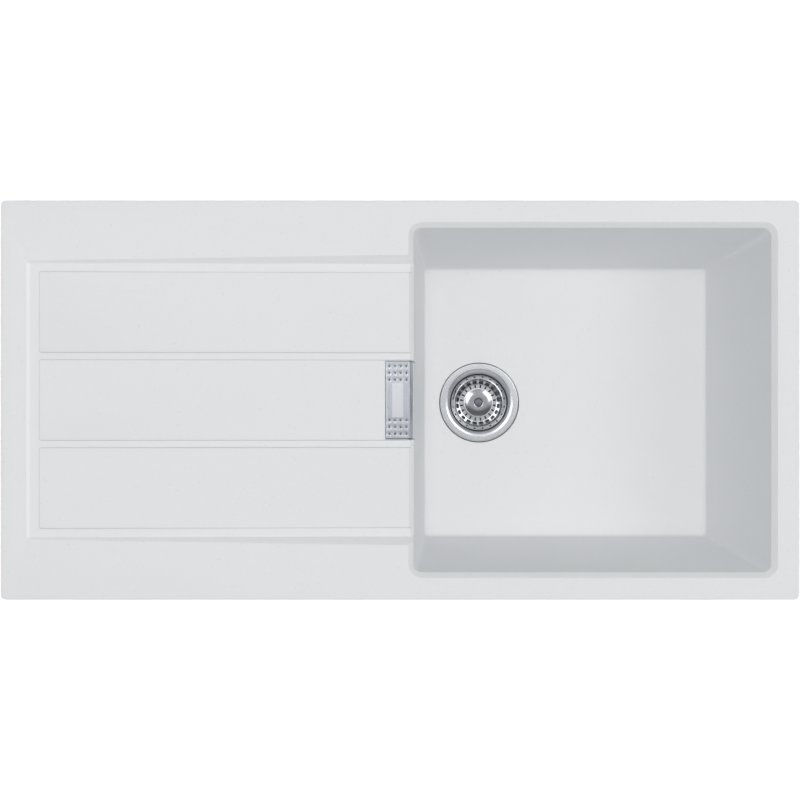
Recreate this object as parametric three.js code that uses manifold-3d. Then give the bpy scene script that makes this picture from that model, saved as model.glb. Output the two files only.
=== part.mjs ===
// Inset kitchen sink with one bowl, a sloping drainer, a basket strainer waste and an overflow.
// Millimetres, +Z up. The origin is the centre of the outline on the worktop's top surface.
// The bowl is at +X, the drainer at -X. Everything below Z = 0 hangs in the worktop's cut-out.
import * as THREE from 'three';
import { ConvexGeometry } from 'three/addons/geometries/ConvexGeometry.js';
import * as BufferGeometryUtils from 'three/addons/utils/BufferGeometryUtils.js';
import Module from 'manifold-3d';

const wasm = await Module();
wasm.setup();

// Outline, rim and wall of the moulding
const sinkLength = 1000;
const sinkWidth = 500;
const outlineRadius = 6;
const rimHeight = 9; // rim top above the worktop
const edgeRound = 2.4; // rounding of the rim's outer top edge
const wall = 5;
const lipWidth = 12; // lip that rests on the worktop
const seatGap = 0.3; // clearance between pieces that touch

// Bowl
const rimMargin = 27.5; // bowl opening to the outline, on three sides
const bowlLength = 462;
const bowlDepth = 200; // rim top to the floor's edge
const bevelWidth = 6.2;
const bevelDrop = 6;
const openingRadius = 16;
const wallTopRadius = 10;
const floorRadius = 6;
const endDraft = 18.5; // how far the end walls lean in over the depth
const sideDraft = 20.3;
const floorFillet = 5;
const floorFall = 2; // fall of the floor towards the waste
const bevelBacking = 3; // extra thickness behind the bevel

// Drainer
const drainerMargin = 32.5; // outline to the recess's outer edge
const endSlopeWidth = 5.3;
const drainerHalfWidth = 172;
const drainerEndDepth = 2.6; // depth of the channel below the rim, outer end
const drainerBowlDepth = 11.5; // the same beside the bowl
const sideLean = 0.835; // side wall's run for each unit of height
const recessRadius = 3.5;
const panelInset = 11; // recess floor's outer end to the panels
const panelWidth = 100.3;
const panelLand = 10; // channel between two panels
const panelCount = 3;
const panelHeight = 1.5;
const panelRadius = 2;
const panelEdgeRun = 0.9; // slope of a panel's edges
const drainerEdgeSetback = 1; // drainer's edge past the bowl opening's left side

// Stiffening under the drainer and the rim
const ribThickness = 4;
const ribBottom = 16; // below the worktop plane
const ribCount = 6;
const ribOffset = 0.3; // first rib's place in its bay, clear of the tap hole
const longRibSpacing = 96;
const longRibCount = 4;
const gussetDepth = 12;
const gussetPitch = 85;
const gussetCount = 5;
const tapHoleDiameter = 35;
const tapHoleFromBowl = 58;
const tapHoleFromEdge = 34;
const tapSkin = 3; // thin skin left over a tap hole
const tapRingWall = 4;
const tapRingDepth = 7; // below the worktop plane

// Seal under the lip
const sealWidth = 6.4;
const sealThickness = 1.8;
const sealFromEdge = 4;

// Waste
const wasteFromBowlEnd = 105.3; // bowl opening's left side to the waste's centre
const wasteHoleDiameter = 92;
const flangeDiameter = 116;
const flangeProud = 0.4;
const sheet = 1; // pressed steel
const throatDiameter = 84.6;
const throatRound = 3.4;
const throatDepth = 19;
const seatDiameter = 66;
const seatDepth = 26.5; // flange top down to the strainer's seat
const hubDish = 4.5;
const hubDiameter = 24;
const grateSlotCount = 6;
const grateBar = 6;
const grateRingWidth = 4;
const flangeGasketThickness = 1.3;
const flangeGasketInset = 1; // from the flange's edge
const flangeGasketWidth = 10;
const seatClearance = 0.6; // round the flange in its recess
const padThickness = 5.2;
const bodyGasketThickness = 2.6;
const bodyGasketInset = 1; // gasket's edges to the edges of the body's flange
const bodyInnerDiameter = 92;
const bodyFlangeWidth = 10.5; // from the body's bore to its flange's edge
const bodyFlangeDiameter = bodyInnerDiameter + 2 * bodyFlangeWidth;
const bodyFlangeThickness = 5;
const bodyWall = 3.2;
const bodyDepth = 34;
const bodyConeDepth = 13;
const outletDiameter = 47.8; // 1 1/2 inch outlet thread
const outletBore = 39;
const outletLength = 33;
const inletBelowFloor = 29.5; // pad underside down to the overflow inlet's axis
const spigotDiameter = 25;
const spigotBore = 19;
const spigotLength = 22;
const spiderArmCount = 3;
const spiderArmWidth = 4;
const spiderDrop = 30; // body top down to the spider
const spiderHeight = 14;
const spiderHubDiameter = 16;
const insertDiameter = 10;
const insertLength = 12;
const wasteScrewDiameter = 6;
const wasteScrewHeadDiameter = 12;
const wasteScrewHeadHeight = 3.4;
const boreClearance = 0.3;

// Basket strainer
const basketSheet = 0.8;
const basketTopDiameter = 81.6;
const basketDrop = 6.4; // flange top down to the basket's rim
const basketLipHeight = 1.6;
const shoulderInnerDiameter = 70;
const shoulderFall = 2.6;
const basketFloorDiameter = 55;
const basketKneeDiameter = 67.6; // where the steep wall turns in to the ring of windows
const basketKneeHeight = 2.8; // of that turn above the floor
const basketDepth = 16;
const shoulderHoleDiameter = 2.4;
const shoulderHoleCircle = 76.6;
const strainerHoleCount = 20;
const windowWidth = 6;
const windowShare = 0.72; // a window's length over the ring's
const slotCircle = 49.6;
const slotLength = 4.6;
const slotWidth = 2;
const capDiameter = 43;
const capHeight = 11.5; // basket floor up to the cap's top
const capCrownRadius = 9.4;
const capEdgeDrop = 2.2;
const capSheet = 1.2;
const postHeadDiameter = 11;
const postHeadHeight = 1.4;
const postDiameter = 6;
const postBodyDiameter = 10;
const postRivetHeight = 1.2;
const basketSealDiameter = 62;
const basketSealThickness = 2;
const basketSealBore = 20;
const clipDiameter = 18.6;
const clipWall = 1.8;
const clipTop = 1.6;
const clipDepth = 5.4;
const clipFingerCount = 4;
const clipFingerGap = 2.4;

// Overflow
const coverSpan = 98.6;
const coverFlat = 31.4;
const coverDrop = 26.5;
const coverLean = 3.6; // front plate's run over its drop
const coverGap = 0.7;
const coverProud = 0.1;
const coverLedge = 2.5;
const coverFrontSetback = 1.6; // drainer's edge to the cover's bend
const coverHoleDiameter = 2.4;
const coverHoleRows = 3;
const coverHoleColumns = 4;
const coverHoleRowPitch = 8.6;
const coverHoleColumnPitch = 7.2;
const coverHoleFromEnd = 6.6;
const coverHoleFromSide = 4.9;
const coverLegWidth = 8;
const coverLegDrop = 12;
const wellDepth = 51; // rim top down to the well's floor
const sillDepth = 41; // rim top down to the overflow's sill
const sillFlat = 1.6; // the sill's level part, before it falls to the bowl's wall
const sillFall = 18;
const overflowHoleDiameter = 20;
const roseDiameter = 29;
const roseSlotCount = 6;
const roseSlotWidth = 3;
const overflowScrewDiameter = 4;
const overflowScrewHeadDiameter = 8;
const overflowScrewHeadHeight = 2;
const overflowScrewLength = 17;
const overflowGasketThickness = 2;
const elbowFlangeDiameter = 31;
const elbowFlangeThickness = 3;
const elbowDiameter = 26;
const elbowWall = 2.5;
const elbowDepth = 27;
const elbowOutletDrop = 13; // elbow's top down to its outlet's axis
const elbowBridgeWidth = 9;
const elbowBridgeHeight = 6;

// Overflow hose and its nuts
const hoseDiameter = 20;
const hoseValleyDiameter = 17.2;
const hoseBore = 13.2;
const hoseCollarDiameter = 24;
const hoseCollarThickness = 2;
const hoseCuffLength = 14;
const ribPitchOnHose = 6;
const nutDiameter = 33;
const nutLength = 15;
const nutLipThickness = 3;

// Fixing clips
const clipFromEdge = 18; // outline to a clip's screw
const longSideClips = [-395, -130, 280];
const bossDiameter = 14;
const bossBottom = 22; // below the worktop plane
const bossTopSkin = 8;
const clipScrewDiameter = 6;
const clipInsertDiameter = 8.4;
const clipInsertLength = 11.4;
const clipScrewEngagement = 8;
const worktopThickest = 42;
const clawHeight = 10;
const clawPlate = 2.5;
const clawWidth = 14;
const clawReach = 25;
const clawTail = 9;
const clawToothPitch = 1.8;
const clipWasherDiameter = 13;
const clipWasherThickness = 1.2;
const clipHeadDiameter = 11;
const clipHeadHeight = 4;
const driverSlotWidth = 1.6;
const driverSlotDepth = 2;

// Smoothness of round stretches
const cornerSteps = 4;
const filletSteps = 3;
const bigRound = 32;
const midRound = 20;
const smallRound = 8;
const hoseRound = 8;

// Levels and places that follow from the sizes above
const rimTop = rimHeight;
const bowlRight = sinkLength / 2 - rimMargin;
const bowlLeft = bowlRight - bowlLength;
const bowlX = (bowlLeft + bowlRight) / 2;
const bowlHalfLength = bowlLength / 2;
const bowlHalfWidth = sinkWidth / 2 - rimMargin;
const bevelZ = rimTop - bevelDrop;
const floorZ = rimTop - bowlDepth;
const wasteX = bowlLeft + wasteFromBowlEnd;
const wasteFloorZ = floorZ - floorFall;
const flangeTop = wasteFloorZ + flangeProud;
const recessFloorZ = flangeTop - sheet - flangeGasketThickness - 2 * seatGap;
const padZ = recessFloorZ - padThickness;
const wasteBodyTop = padZ - bodyGasketThickness - 2 * seatGap;
const inletZ = padZ - inletBelowFloor;
const drainerEdgeX = bowlLeft + drainerEdgeSetback;
const channelStartX = -sinkLength / 2 + drainerMargin + endSlopeWidth;
const drainerSlope = (drainerBowlDepth - drainerEndDepth) / (drainerEdgeX - channelStartX);
const coverBendX = drainerEdgeX + coverFrontSetback;
const coverLeftX = coverBendX - coverFlat;
const wellFloorZ = rimTop - wellDepth;
const sillZ = rimTop - sillDepth;
const wellLeftX = coverLeftX + coverLedge;
const wellRightX = bowlWallX(wellFloorZ) - wall;
const wellX = (wellLeftX + wellRightX) / 2;
const elbowTop = wellFloorZ - wall - overflowGasketThickness - 2 * seatGap;
const elbowOutletZ = elbowTop - elbowOutletDrop;

// Materials
const finishes = {
  composite: { color: 0xdddfe0, roughness: 0.55, metalness: 0 },
  brushedSteel: { color: 0xc6c9cf, roughness: 0.35, metalness: 1 },
  polishedSteel: { color: 0xd8dadc, roughness: 0.15, metalness: 1 },
  zincSteel: { color: 0xb4b8bb, roughness: 0.4, metalness: 1 },
  brass: { color: 0xb79a55, roughness: 0.35, metalness: 1 },
  whitePlastic: { color: 0xe9e9e6, roughness: 0.5, metalness: 0 },
  greyPlastic: { color: 0x9b9fa2, roughness: 0.55, metalness: 0 },
  rubber: { color: 0x26272a, roughness: 0.8, metalness: 0 },
  foam: { color: 0x3c3e41, roughness: 0.95, metalness: 0 },
};

const sink = new THREE.Group();

// Inner face of the bowl's wall beside the drainer, at height z
function bowlWallX(z) {
  return bowlLeft + bevelWidth + endDraft * (bevelZ - z) / (bevelZ - floorZ);
}

// ---- Solids from three.js geometries ----

function closedMesh(geometry) {
  const bare = geometry.clone();
  bare.deleteAttribute('normal');
  bare.deleteAttribute('uv');
  const merged = BufferGeometryUtils.mergeVertices(bare, 1e-4);
  const corners = merged.index.array;
  const kept = [];
  for (let i = 0; i < corners.length; i += 3) {
    const [a, b, c] = corners.subarray(i, i + 3);
    if (a !== b && b !== c && c !== a) kept.push(a, b, c);
  }
  return { positions: merged.attributes.position.array, corners: kept };
}

function solid(geometry) {
  const { positions, corners } = closedMesh(geometry);
  const make = (order) => new wasm.Manifold(new wasm.Mesh({
    numProp: 3,
    vertProperties: positions,
    triVerts: new Uint32Array(order),
  }));
  const body = make(corners);
  return body.volume() > 0 ? body : make(corners.slice().reverse());
}

// Corner radius of a faceted bore whose flats clear a shaft of this radius
function bore(shaftRadius, clearance, sides = smallRound) {
  return (shaftRadius + clearance) / Math.cos(Math.PI / sides);
}

function union(bodies) {
  return bodies.reduce((sum, body) => sum.add(body));
}

function cut(body, cutters) {
  return cutters.reduce((rest, cutter) => rest.subtract(cutter), body);
}

function hull(points) {
  return solid(new ConvexGeometry(points));
}

function box(x0, x1, y0, y1, z0, z1) {
  const block = new THREE.BoxGeometry(x1 - x0, y1 - y0, z1 - z0);
  return solid(block.translate((x0 + x1) / 2, (y0 + y1) / 2, (z0 + z1) / 2));
}

// A cylinder or cone along Z
function cylinder(x, y, z0, z1, radius, sides = smallRound, topRadius = radius) {
  const column = new THREE.CylinderGeometry(topRadius, radius, z1 - z0, sides);
  return solid(column.rotateX(Math.PI / 2).translate(x, y, (z0 + z1) / 2));
}

// A cylinder along X
function crossCylinder(x0, x1, y, z, radius, sides = midRound) {
  const column = new THREE.CylinderGeometry(radius, radius, x1 - x0, sides);
  return solid(column.rotateZ(Math.PI / 2).translate((x0 + x1) / 2, y, z));
}

// A profile of [radius, height] points turned about the Z axis through x
function turned(profile, sides, x = 0) {
  const points = profile.map(([radius, height]) => new THREE.Vector2(radius, height));
  return solid(new THREE.LatheGeometry(points, sides).rotateX(Math.PI / 2).translate(x, 0, 0));
}

function ringBody(innerRadius, outerRadius, z0, z1, sides, x = 0) {
  const profile = [[innerRadius, z0], [outerRadius, z0], [outerRadius, z1], [innerRadius, z1], [innerRadius, z0]];
  return turned(profile, sides, x);
}

// A profile of [x, z] points pushed along Y, centred on y
function pushed(profile, span, y = 0) {
  const shape = new THREE.Shape(profile.map(([x, z]) => new THREE.Vector2(x, z)));
  const bar = new THREE.ExtrudeGeometry(shape, { depth: span, bevelEnabled: false });
  return solid(bar.rotateX(Math.PI / 2).translate(0, y + span / 2, 0));
}

// A level rounded rectangle of points
function ring(halfX, halfY, radius, z, centreX = 0) {
  const r = Math.max(radius, 0.5);
  const quarters = [[1, 1], [-1, 1], [-1, -1], [1, -1]];
  return quarters.flatMap(([sx, sy], quarter) =>
    Array.from({ length: cornerSteps + 1 }, (_, i) => {
      const angle = (quarter + i / cornerSteps) * Math.PI / 2;
      const x = centreX + sx * (halfX - r) + r * Math.cos(angle);
      const y = sy * (halfY - r) + r * Math.sin(angle);
      return new THREE.Vector3(x, y, z);
    }));
}

// A skin through level rings with equal counts of points, closed at both ends
function loft(rings) {
  const count = rings[0].length;
  const positions = rings.flat().flatMap((p) => [p.x, p.y, p.z]);
  const index = [];
  for (let level = 0; level < rings.length - 1; level += 1) {
    for (let i = 0; i < count; i += 1) {
      const a = level * count + i;
      const b = level * count + (i + 1) % count;
      index.push(a, b, b + count, a, b + count, a + count);
    }
  }
  const last = (rings.length - 1) * count;
  for (let i = 1; i < count - 1; i += 1) {
    index.push(0, i + 1, i, last, last + i, last + i + 1);
  }
  const skin = new THREE.BufferGeometry();
  skin.setAttribute('position', new THREE.Float32BufferAttribute(positions, 3));
  skin.setIndex(index);
  return solid(skin);
}

function addPiece(name, body, finish, place = new THREE.Matrix4()) {
  const mesh = body.getMesh();
  const geometry = new THREE.BufferGeometry();
  geometry.setAttribute('position', new THREE.BufferAttribute(mesh.vertProperties, 3));
  geometry.setIndex(new THREE.BufferAttribute(mesh.triVerts, 1));
  const material = new THREE.MeshStandardMaterial({ ...finishes[finish], flatShading: true });
  const piece = new THREE.Mesh(geometry, material);
  piece.name = name;
  piece.applyMatrix4(place);
  sink.add(piece);
}

// ---- Moulding: rim ----

function slab() {
  const levels = Array.from({ length: filletSteps + 1 }, (_, i) => {
    const angle = (i / filletSteps) * Math.PI / 2;
    const inset = edgeRound * (1 - Math.cos(angle));
    const z = rimTop - edgeRound * (1 - Math.sin(angle));
    return ring(sinkLength / 2 - inset, sinkWidth / 2 - inset, outlineRadius - inset, z);
  });
  return loft([ring(sinkLength / 2, sinkWidth / 2, outlineRadius, 0), ...levels]);
}

function rimHollow() {
  const halfX = sinkLength / 2 - lipWidth;
  const halfY = sinkWidth / 2 - lipWidth;
  return loft([ring(halfX, halfY, outlineRadius, -1), ring(halfX, halfY, outlineRadius, rimTop - wall)]);
}

function sealLoop(inset, width, z0, z1) {
  const loop = (edge) => [z0, z1].map((z) =>
    ring(sinkLength / 2 - edge, sinkWidth / 2 - edge, outlineRadius - edge / 2, z));
  return loft(loop(inset)).subtract(loft(loop(inset + width).map((points, i) =>
    points.map((p) => new THREE.Vector3(p.x, p.y, p.z + (i ? 1 : -1))))));
}

// ---- Moulding: bowl ----

// The bowl's outline at height z, grown by an offset
function bowlRing(z, grow, inset = 0) {
  const t = (bevelZ - z) / (bevelZ - floorZ);
  const halfX = bowlHalfLength - bevelWidth - endDraft * t + grow - inset;
  const halfY = bowlHalfWidth - bevelWidth - sideDraft * t + grow - inset;
  const radius = THREE.MathUtils.lerp(wallTopRadius, floorRadius, t) + grow - inset;
  return ring(halfX, halfY, radius, z, bowlX);
}

// Rings of the fillet between wall and floor, from the floor up
function filletRings(bottom, radius, grow) {
  return Array.from({ length: filletSteps + 1 }, (_, i) => {
    const angle = (i / filletSteps) * Math.PI / 2;
    const z = bottom + radius * (1 - Math.cos(angle));
    return bowlRing(z, grow, radius * (1 - Math.sin(angle)));
  });
}

function bowlInside() {
  const opening = (z) => ring(bowlHalfLength, bowlHalfWidth, openingRadius, z, bowlX);
  return loft([
    ...filletRings(floorZ, floorFillet, 0),
    bowlRing(bevelZ, 0),
    opening(rimTop),
    opening(rimTop + 1),
  ]);
}

function bowlOutside() {
  const bottom = floorZ - floorFall - wall;
  const radius = floorFillet + wall;
  const under = rimTop - wall;
  return loft([
    ...filletRings(bottom, radius, wall),
    bowlRing(under - 2 * wall, wall),
    bowlRing(under, wall + bevelBacking),
    bowlRing(under + 1, wall + bevelBacking),
  ]);
}

// The floor's shallow fall from its edge to the waste
function floorDish() {
  const edge = bowlRing(floorZ, 0, floorFillet);
  const raised = edge.map((p) => new THREE.Vector3(p.x, p.y, p.z + 0.2));
  const mouth = Array.from({ length: bigRound }, (_, i) => {
    const angle = (i / bigRound) * 2 * Math.PI;
    const radius = flangeDiameter / 2 + 3;
    return new THREE.Vector3(wasteX + radius * Math.cos(angle), radius * Math.sin(angle), wasteFloorZ);
  });
  return hull([...edge, ...raised, ...mouth]);
}

// ---- Moulding: drainer ----

function channelZ(x) {
  return rimTop - drainerEndDepth - (x - channelStartX) * drainerSlope;
}

function panelZ(x) {
  return channelZ(x) + panelHeight;
}

// Corner points of the recess grown by an offset, from its floor up to the height top
function recessPoints(grow, top, endX) {
  const leftX = channelStartX - grow;
  const lean = endSlopeWidth / drainerEndDepth;
  const points = [];
  for (const side of [-1, 1]) {
    for (let i = 0; i <= cornerSteps; i += 1) {
      const angle = (i / cornerSteps) * Math.PI / 2;
      const alongX = recessRadius * (1 - Math.cos(angle));
      const alongY = recessRadius * (1 - Math.sin(angle));
      const floor = channelZ(leftX) - grow;
      const rise = top - floor;
      points.push(new THREE.Vector3(leftX + alongX, side * (drainerHalfWidth + grow - alongY), floor));
      const outX = leftX - rise * lean + alongX;
      const outY = drainerHalfWidth + grow + rise * sideLean - alongY;
      points.push(new THREE.Vector3(outX, side * outY, top));
    }
    const floor = channelZ(endX) - grow;
    points.push(new THREE.Vector3(endX, side * (drainerHalfWidth + grow), floor));
    points.push(new THREE.Vector3(endX, side * (drainerHalfWidth + grow + (top - floor) * sideLean), top));
  }
  return points;
}

function drainerPan() {
  return hull(recessPoints(wall, rimTop - wall / 2, bowlLeft + bevelWidth + wall));
}

function drainerRecess() {
  return hull(recessPoints(0, rimTop + 1, bowlLeft + 2 * bevelWidth));
}

function panel(centreY) {
  const startX = channelStartX + panelInset;
  const endX = bowlLeft + 2 * bevelWidth;
  const centreX = (startX + endX) / 2;
  const outline = (spread, raise) =>
    ring((endX - startX) / 2 + spread, panelWidth / 2 + spread, panelRadius + spread, 0, centreX)
      .map((p) => new THREE.Vector3(p.x, p.y + centreY, channelZ(p.x) + raise));
  return hull([...outline(panelEdgeRun, -0.5), ...outline(panelEdgeRun, 0), ...outline(0, panelHeight)]);
}

function panels() {
  const pitch = panelWidth + panelLand;
  return Array.from({ length: panelCount }, (_, i) => panel((i - (panelCount - 1) / 2) * pitch));
}

// What is cut off between the drainer's edge and the bowl, at 45 degrees, as wide as the recess
function drainerBevel() {
  const edgeZ = panelZ(drainerEdgeX);
  const reach = 3 * bevelWidth;
  const ends = [[drainerEdgeX, edgeZ], [drainerEdgeX + reach, edgeZ - reach]];
  const points = ends.flatMap(([x, low]) => [low, rimTop + 1].flatMap((z) => {
    const halfWidth = drainerHalfWidth + (z - channelZ(drainerEdgeX)) * sideLean;
    return [-1, 1].map((side) => new THREE.Vector3(x, side * halfWidth, z));
  }));
  return hull(points);
}

// ---- Moulding: underside ----

function drainerRibs() {
  const halfY = sinkWidth / 2 - lipWidth + 1;
  const top = rimTop - wall + 1;
  const leftX = -sinkLength / 2 + lipWidth - 1;
  const pitch = (bowlLeft - leftX) / ribCount;
  const across = Array.from({ length: ribCount }, (_, i) => {
    const x = bowlLeft - (i + ribOffset) * pitch;
    return box(x - ribThickness / 2, x + ribThickness / 2, -halfY, halfY, -ribBottom, top);
  });
  const along = Array.from({ length: longRibCount }, (_, i) => {
    const y = (i - (longRibCount - 1) / 2) * longRibSpacing;
    return box(leftX, bowlLeft + wall, y - ribThickness / 2, y + ribThickness / 2, -ribBottom, top);
  });
  return [...across, ...along];
}

// Short gussets between the bowl's wall and the rim
function gussets() {
  const bodies = [];
  for (const side of [-1, 1]) {
    for (let i = 0; i < gussetCount; i += 1) {
      const x = bowlX + (i - (gussetCount - 1) / 2) * gussetPitch + gussetPitch / 4;
      const outer = sinkWidth / 2 - lipWidth + 1;
      const inner = bowlHalfWidth - bevelWidth;
      const [y0, y1] = side > 0 ? [inner, outer] : [-outer, -inner];
      bodies.push(box(x - ribThickness / 2, x + ribThickness / 2, y0, y1, -gussetDepth, rimTop - wall + 1));
    }
  }
  return bodies;
}

const tapPlaces = [1, -1].map((side) => ({ x: bowlLeft - tapHoleFromBowl, y: side * (sinkWidth / 2 - tapHoleFromEdge) }));

function tapRings() {
  const radius = tapHoleDiameter / 2 + tapRingWall;
  return tapPlaces.map(({ x, y }) => cylinder(x, y, -tapRingDepth, rimTop - wall + 1, radius, midRound));
}

function tapRecesses() {
  return tapPlaces.map(({ x, y }) =>
    cylinder(x, y, -ribBottom - 1, rimTop - tapSkin, tapHoleDiameter / 2, midRound));
}

// Clips: place of the screw and direction from the sink outwards, in degrees
const clipPlaces = [
  ...longSideClips.map((x) => ({ x, y: sinkWidth / 2 - clipFromEdge, outward: 90 })),
  { x: -sinkLength / 2 + clipFromEdge, y: 0, outward: 180 },
  ...longSideClips.map((x) => ({ x, y: -sinkWidth / 2 + clipFromEdge, outward: 270 })),
  { x: sinkLength / 2 - clipFromEdge, y: 0, outward: 0 },
];

function bosses() {
  return clipPlaces.map(({ x, y }) => cylinder(x, y, -bossBottom, rimTop - wall + 1, bossDiameter / 2, midRound / 2));
}

function bossHoles() {
  const insertRadius = bore(clipInsertDiameter / 2, seatGap);
  const screwRadius = bore(clipScrewDiameter / 2, boreClearance);
  const step = -bossBottom + clipInsertLength + 2 * seatGap;
  return clipPlaces.flatMap(({ x, y }) => [
    cylinder(x, y, -bossBottom - 1, step, insertRadius),
    cylinder(x, y, step - 1, rimTop - bossTopSkin, screwRadius),
  ]);
}

// ---- Moulding: overflow well and waste seat ----

const wellHalfSpan = coverSpan / 2 - coverLedge;

function wellOutside() {
  const half = coverSpan / 2 + coverGap + wall;
  const leftX = coverLeftX - coverGap - wall;
  return box(leftX, bowlWallX(sillZ) - wall / 2, -half, half, wellFloorZ - wall, channelZ(leftX) - wall / 2);
}

function wellCuts() {
  const high = rimTop + 1;
  const half = coverSpan / 2 + coverGap;
  const leftX = coverLeftX - coverGap;
  const ledge = (x) => panelZ(x) + coverProud - sheet - seatGap;
  const rebate = pushed([
    [leftX, ledge(leftX)],
    [coverBendX, ledge(coverBendX)],
    [coverBendX, high],
    [leftX, high],
  ], 2 * half);
  const well = box(wellLeftX, wellRightX, -wellHalfSpan, wellHalfSpan, wellFloorZ, high);
  const fallZ = sillZ - sillFall;
  const window = pushed([
    [coverBendX - 2 * sheet, sillZ],
    [wellRightX + sillFlat, sillZ],
    [bowlWallX(fallZ), fallZ],
    [bowlWallX(fallZ) + wall, fallZ],
    [bowlWallX(fallZ) + wall, high],
    [coverBendX - 2 * sheet, high],
  ], 2 * half);
  const drain = cylinder(wellX, 0, wellFloorZ - wall - 1, wellFloorZ + 1, overflowHoleDiameter / 2, midRound);
  return [rebate, well, window, drain];
}

function wasteSeatCuts() {
  const seatRadius = bore(flangeDiameter / 2, seatClearance, bigRound);
  return [
    cylinder(wasteX, 0, recessFloorZ, wasteFloorZ + 1, seatRadius, bigRound),
    cylinder(wasteX, 0, padZ - 1, wasteFloorZ, wasteHoleDiameter / 2, bigRound),
  ];
}

function wastePad() {
  return cylinder(wasteX, 0, padZ, floorZ - 1, flangeDiameter / 2 + seatClearance + wall, bigRound);
}

function sinkMoulding() {
  const shell = union([
    slab().subtract(rimHollow()),
    drainerPan(),
    ...drainerRibs(),
    ...gussets(),
    ...tapRings(),
    ...bosses(),
    bowlOutside(),
    wellOutside(),
    wastePad(),
  ]);
  const hollowed = cut(shell, [drainerRecess(), bowlInside(), floorDish()]);
  return cut(union([hollowed, ...panels()]), [
    drainerBevel(),
    bowlInside(),
    ...wellCuts(),
    ...wasteSeatCuts(),
    ...tapRecesses(),
    ...bossHoles(),
    sealLoop(sealFromEdge, sealWidth, -1, sealThickness + seatGap),
  ]);
}

function rimSeal() {
  return sealLoop(sealFromEdge + seatGap, sealWidth - 2 * seatGap, 0, sealThickness);
}

// ---- Overflow ----

// The side profile of a bent sheet: a polyline and its copy one thickness below or behind
function coverProfile() {
  const top = (x) => panelZ(x) + coverProud;
  const bendRadius = 2;
  const front = [];
  const lean = Math.atan2(coverLean, coverDrop);
  for (let i = 0; i <= filletSteps; i += 1) {
    const angle = (Math.PI / 2 - lean) * i / filletSteps;
    front.push([Math.sin(angle), Math.cos(angle)]);
  }
  const centreX = coverBendX - bendRadius;
  const centreZ = top(coverBendX) - bendRadius;
  const arc = (radius) => front.map(([s, c]) => [centreX + radius * s, centreZ + radius * c]);
  const outer = [[coverLeftX, top(coverLeftX)], ...arc(bendRadius), [coverBendX + coverLean, top(coverBendX) - coverDrop]];
  const inner = [
    [coverBendX + coverLean - sheet, top(coverBendX) - coverDrop],
    ...arc(bendRadius - sheet).reverse(),
    [coverLeftX, top(coverLeftX) - sheet],
  ];
  return [...outer, ...inner];
}

function overflowCover() {
  const plate = pushed(coverProfile(), coverSpan);
  const legX = coverLeftX + coverFlat / 2;
  const legs = [-1, 1].map((side) => {
    const outer = wellHalfSpan - seatGap;
    const [y0, y1] = side > 0 ? [outer - sheet, outer] : [-outer, sheet - outer];
    const top = panelZ(legX) - sheet / 2;
    return box(legX - coverLegWidth / 2, legX + coverLegWidth / 2, y0, y1, top - coverLegDrop, top);
  });
  const holes = [];
  for (const side of [-1, 1]) {
    for (let row = 0; row < coverHoleRows; row += 1) {
      for (let column = 0; column < coverHoleColumns; column += 1) {
        const x = coverLeftX + coverHoleFromSide + column * coverHoleColumnPitch;
        const y = side * (coverSpan / 2 - coverHoleFromEnd - row * coverHoleRowPitch);
        holes.push(cylinder(x, y, panelZ(x) - 3 * sheet, panelZ(x) + sheet, coverHoleDiameter / 2, hoseRound));
      }
    }
  }
  return cut(plate, holes).add(union(legs));
}

function overflowRose() {
  const bottom = wellFloorZ + seatGap;
  const hole = bore(overflowScrewDiameter / 2, boreClearance, midRound);
  const disc = ringBody(hole, roseDiameter / 2, bottom, bottom + sheet, midRound, wellX);
  const middle = overflowHoleDiameter / 4 + overflowScrewHeadDiameter / 4;
  const length = overflowHoleDiameter / 2 - overflowScrewHeadDiameter / 2 - 2;
  const slots = Array.from({ length: roseSlotCount }, (_, i) => {
    const bar = new THREE.BoxGeometry(length, roseSlotWidth, 4 * sheet);
    bar.translate(middle, 0, 0).rotateZ((i / roseSlotCount) * 2 * Math.PI);
    return solid(bar.translate(wellX, 0, bottom + sheet / 2));
  });
  return cut(disc, slots);
}

function overflowGasket() {
  const top = wellFloorZ - wall - seatGap;
  return ringBody(overflowHoleDiameter / 2, elbowFlangeDiameter / 2, top - overflowGasketThickness, top, midRound, wellX);
}

function overflowScrew() {
  const seat = wellFloorZ + seatGap + sheet + seatGap;
  const shank = overflowScrewDiameter / 2;
  const head = overflowScrewHeadDiameter / 2;
  const body = turned([
    [0, seat + overflowScrewHeadHeight],
    [head * 0.8, seat + overflowScrewHeadHeight],
    [head, seat],
    [shank, seat],
    [shank, seat - overflowScrewLength],
    [0, seat - overflowScrewLength],
  ], smallRound, wellX);
  const slot = box(wellX - head, wellX + head, -driverSlotWidth / 3, driverSlotWidth / 3,
    seat + overflowScrewHeadHeight / 2, seat + 2 * overflowScrewHeadHeight);
  return body.subtract(slot);
}

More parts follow.
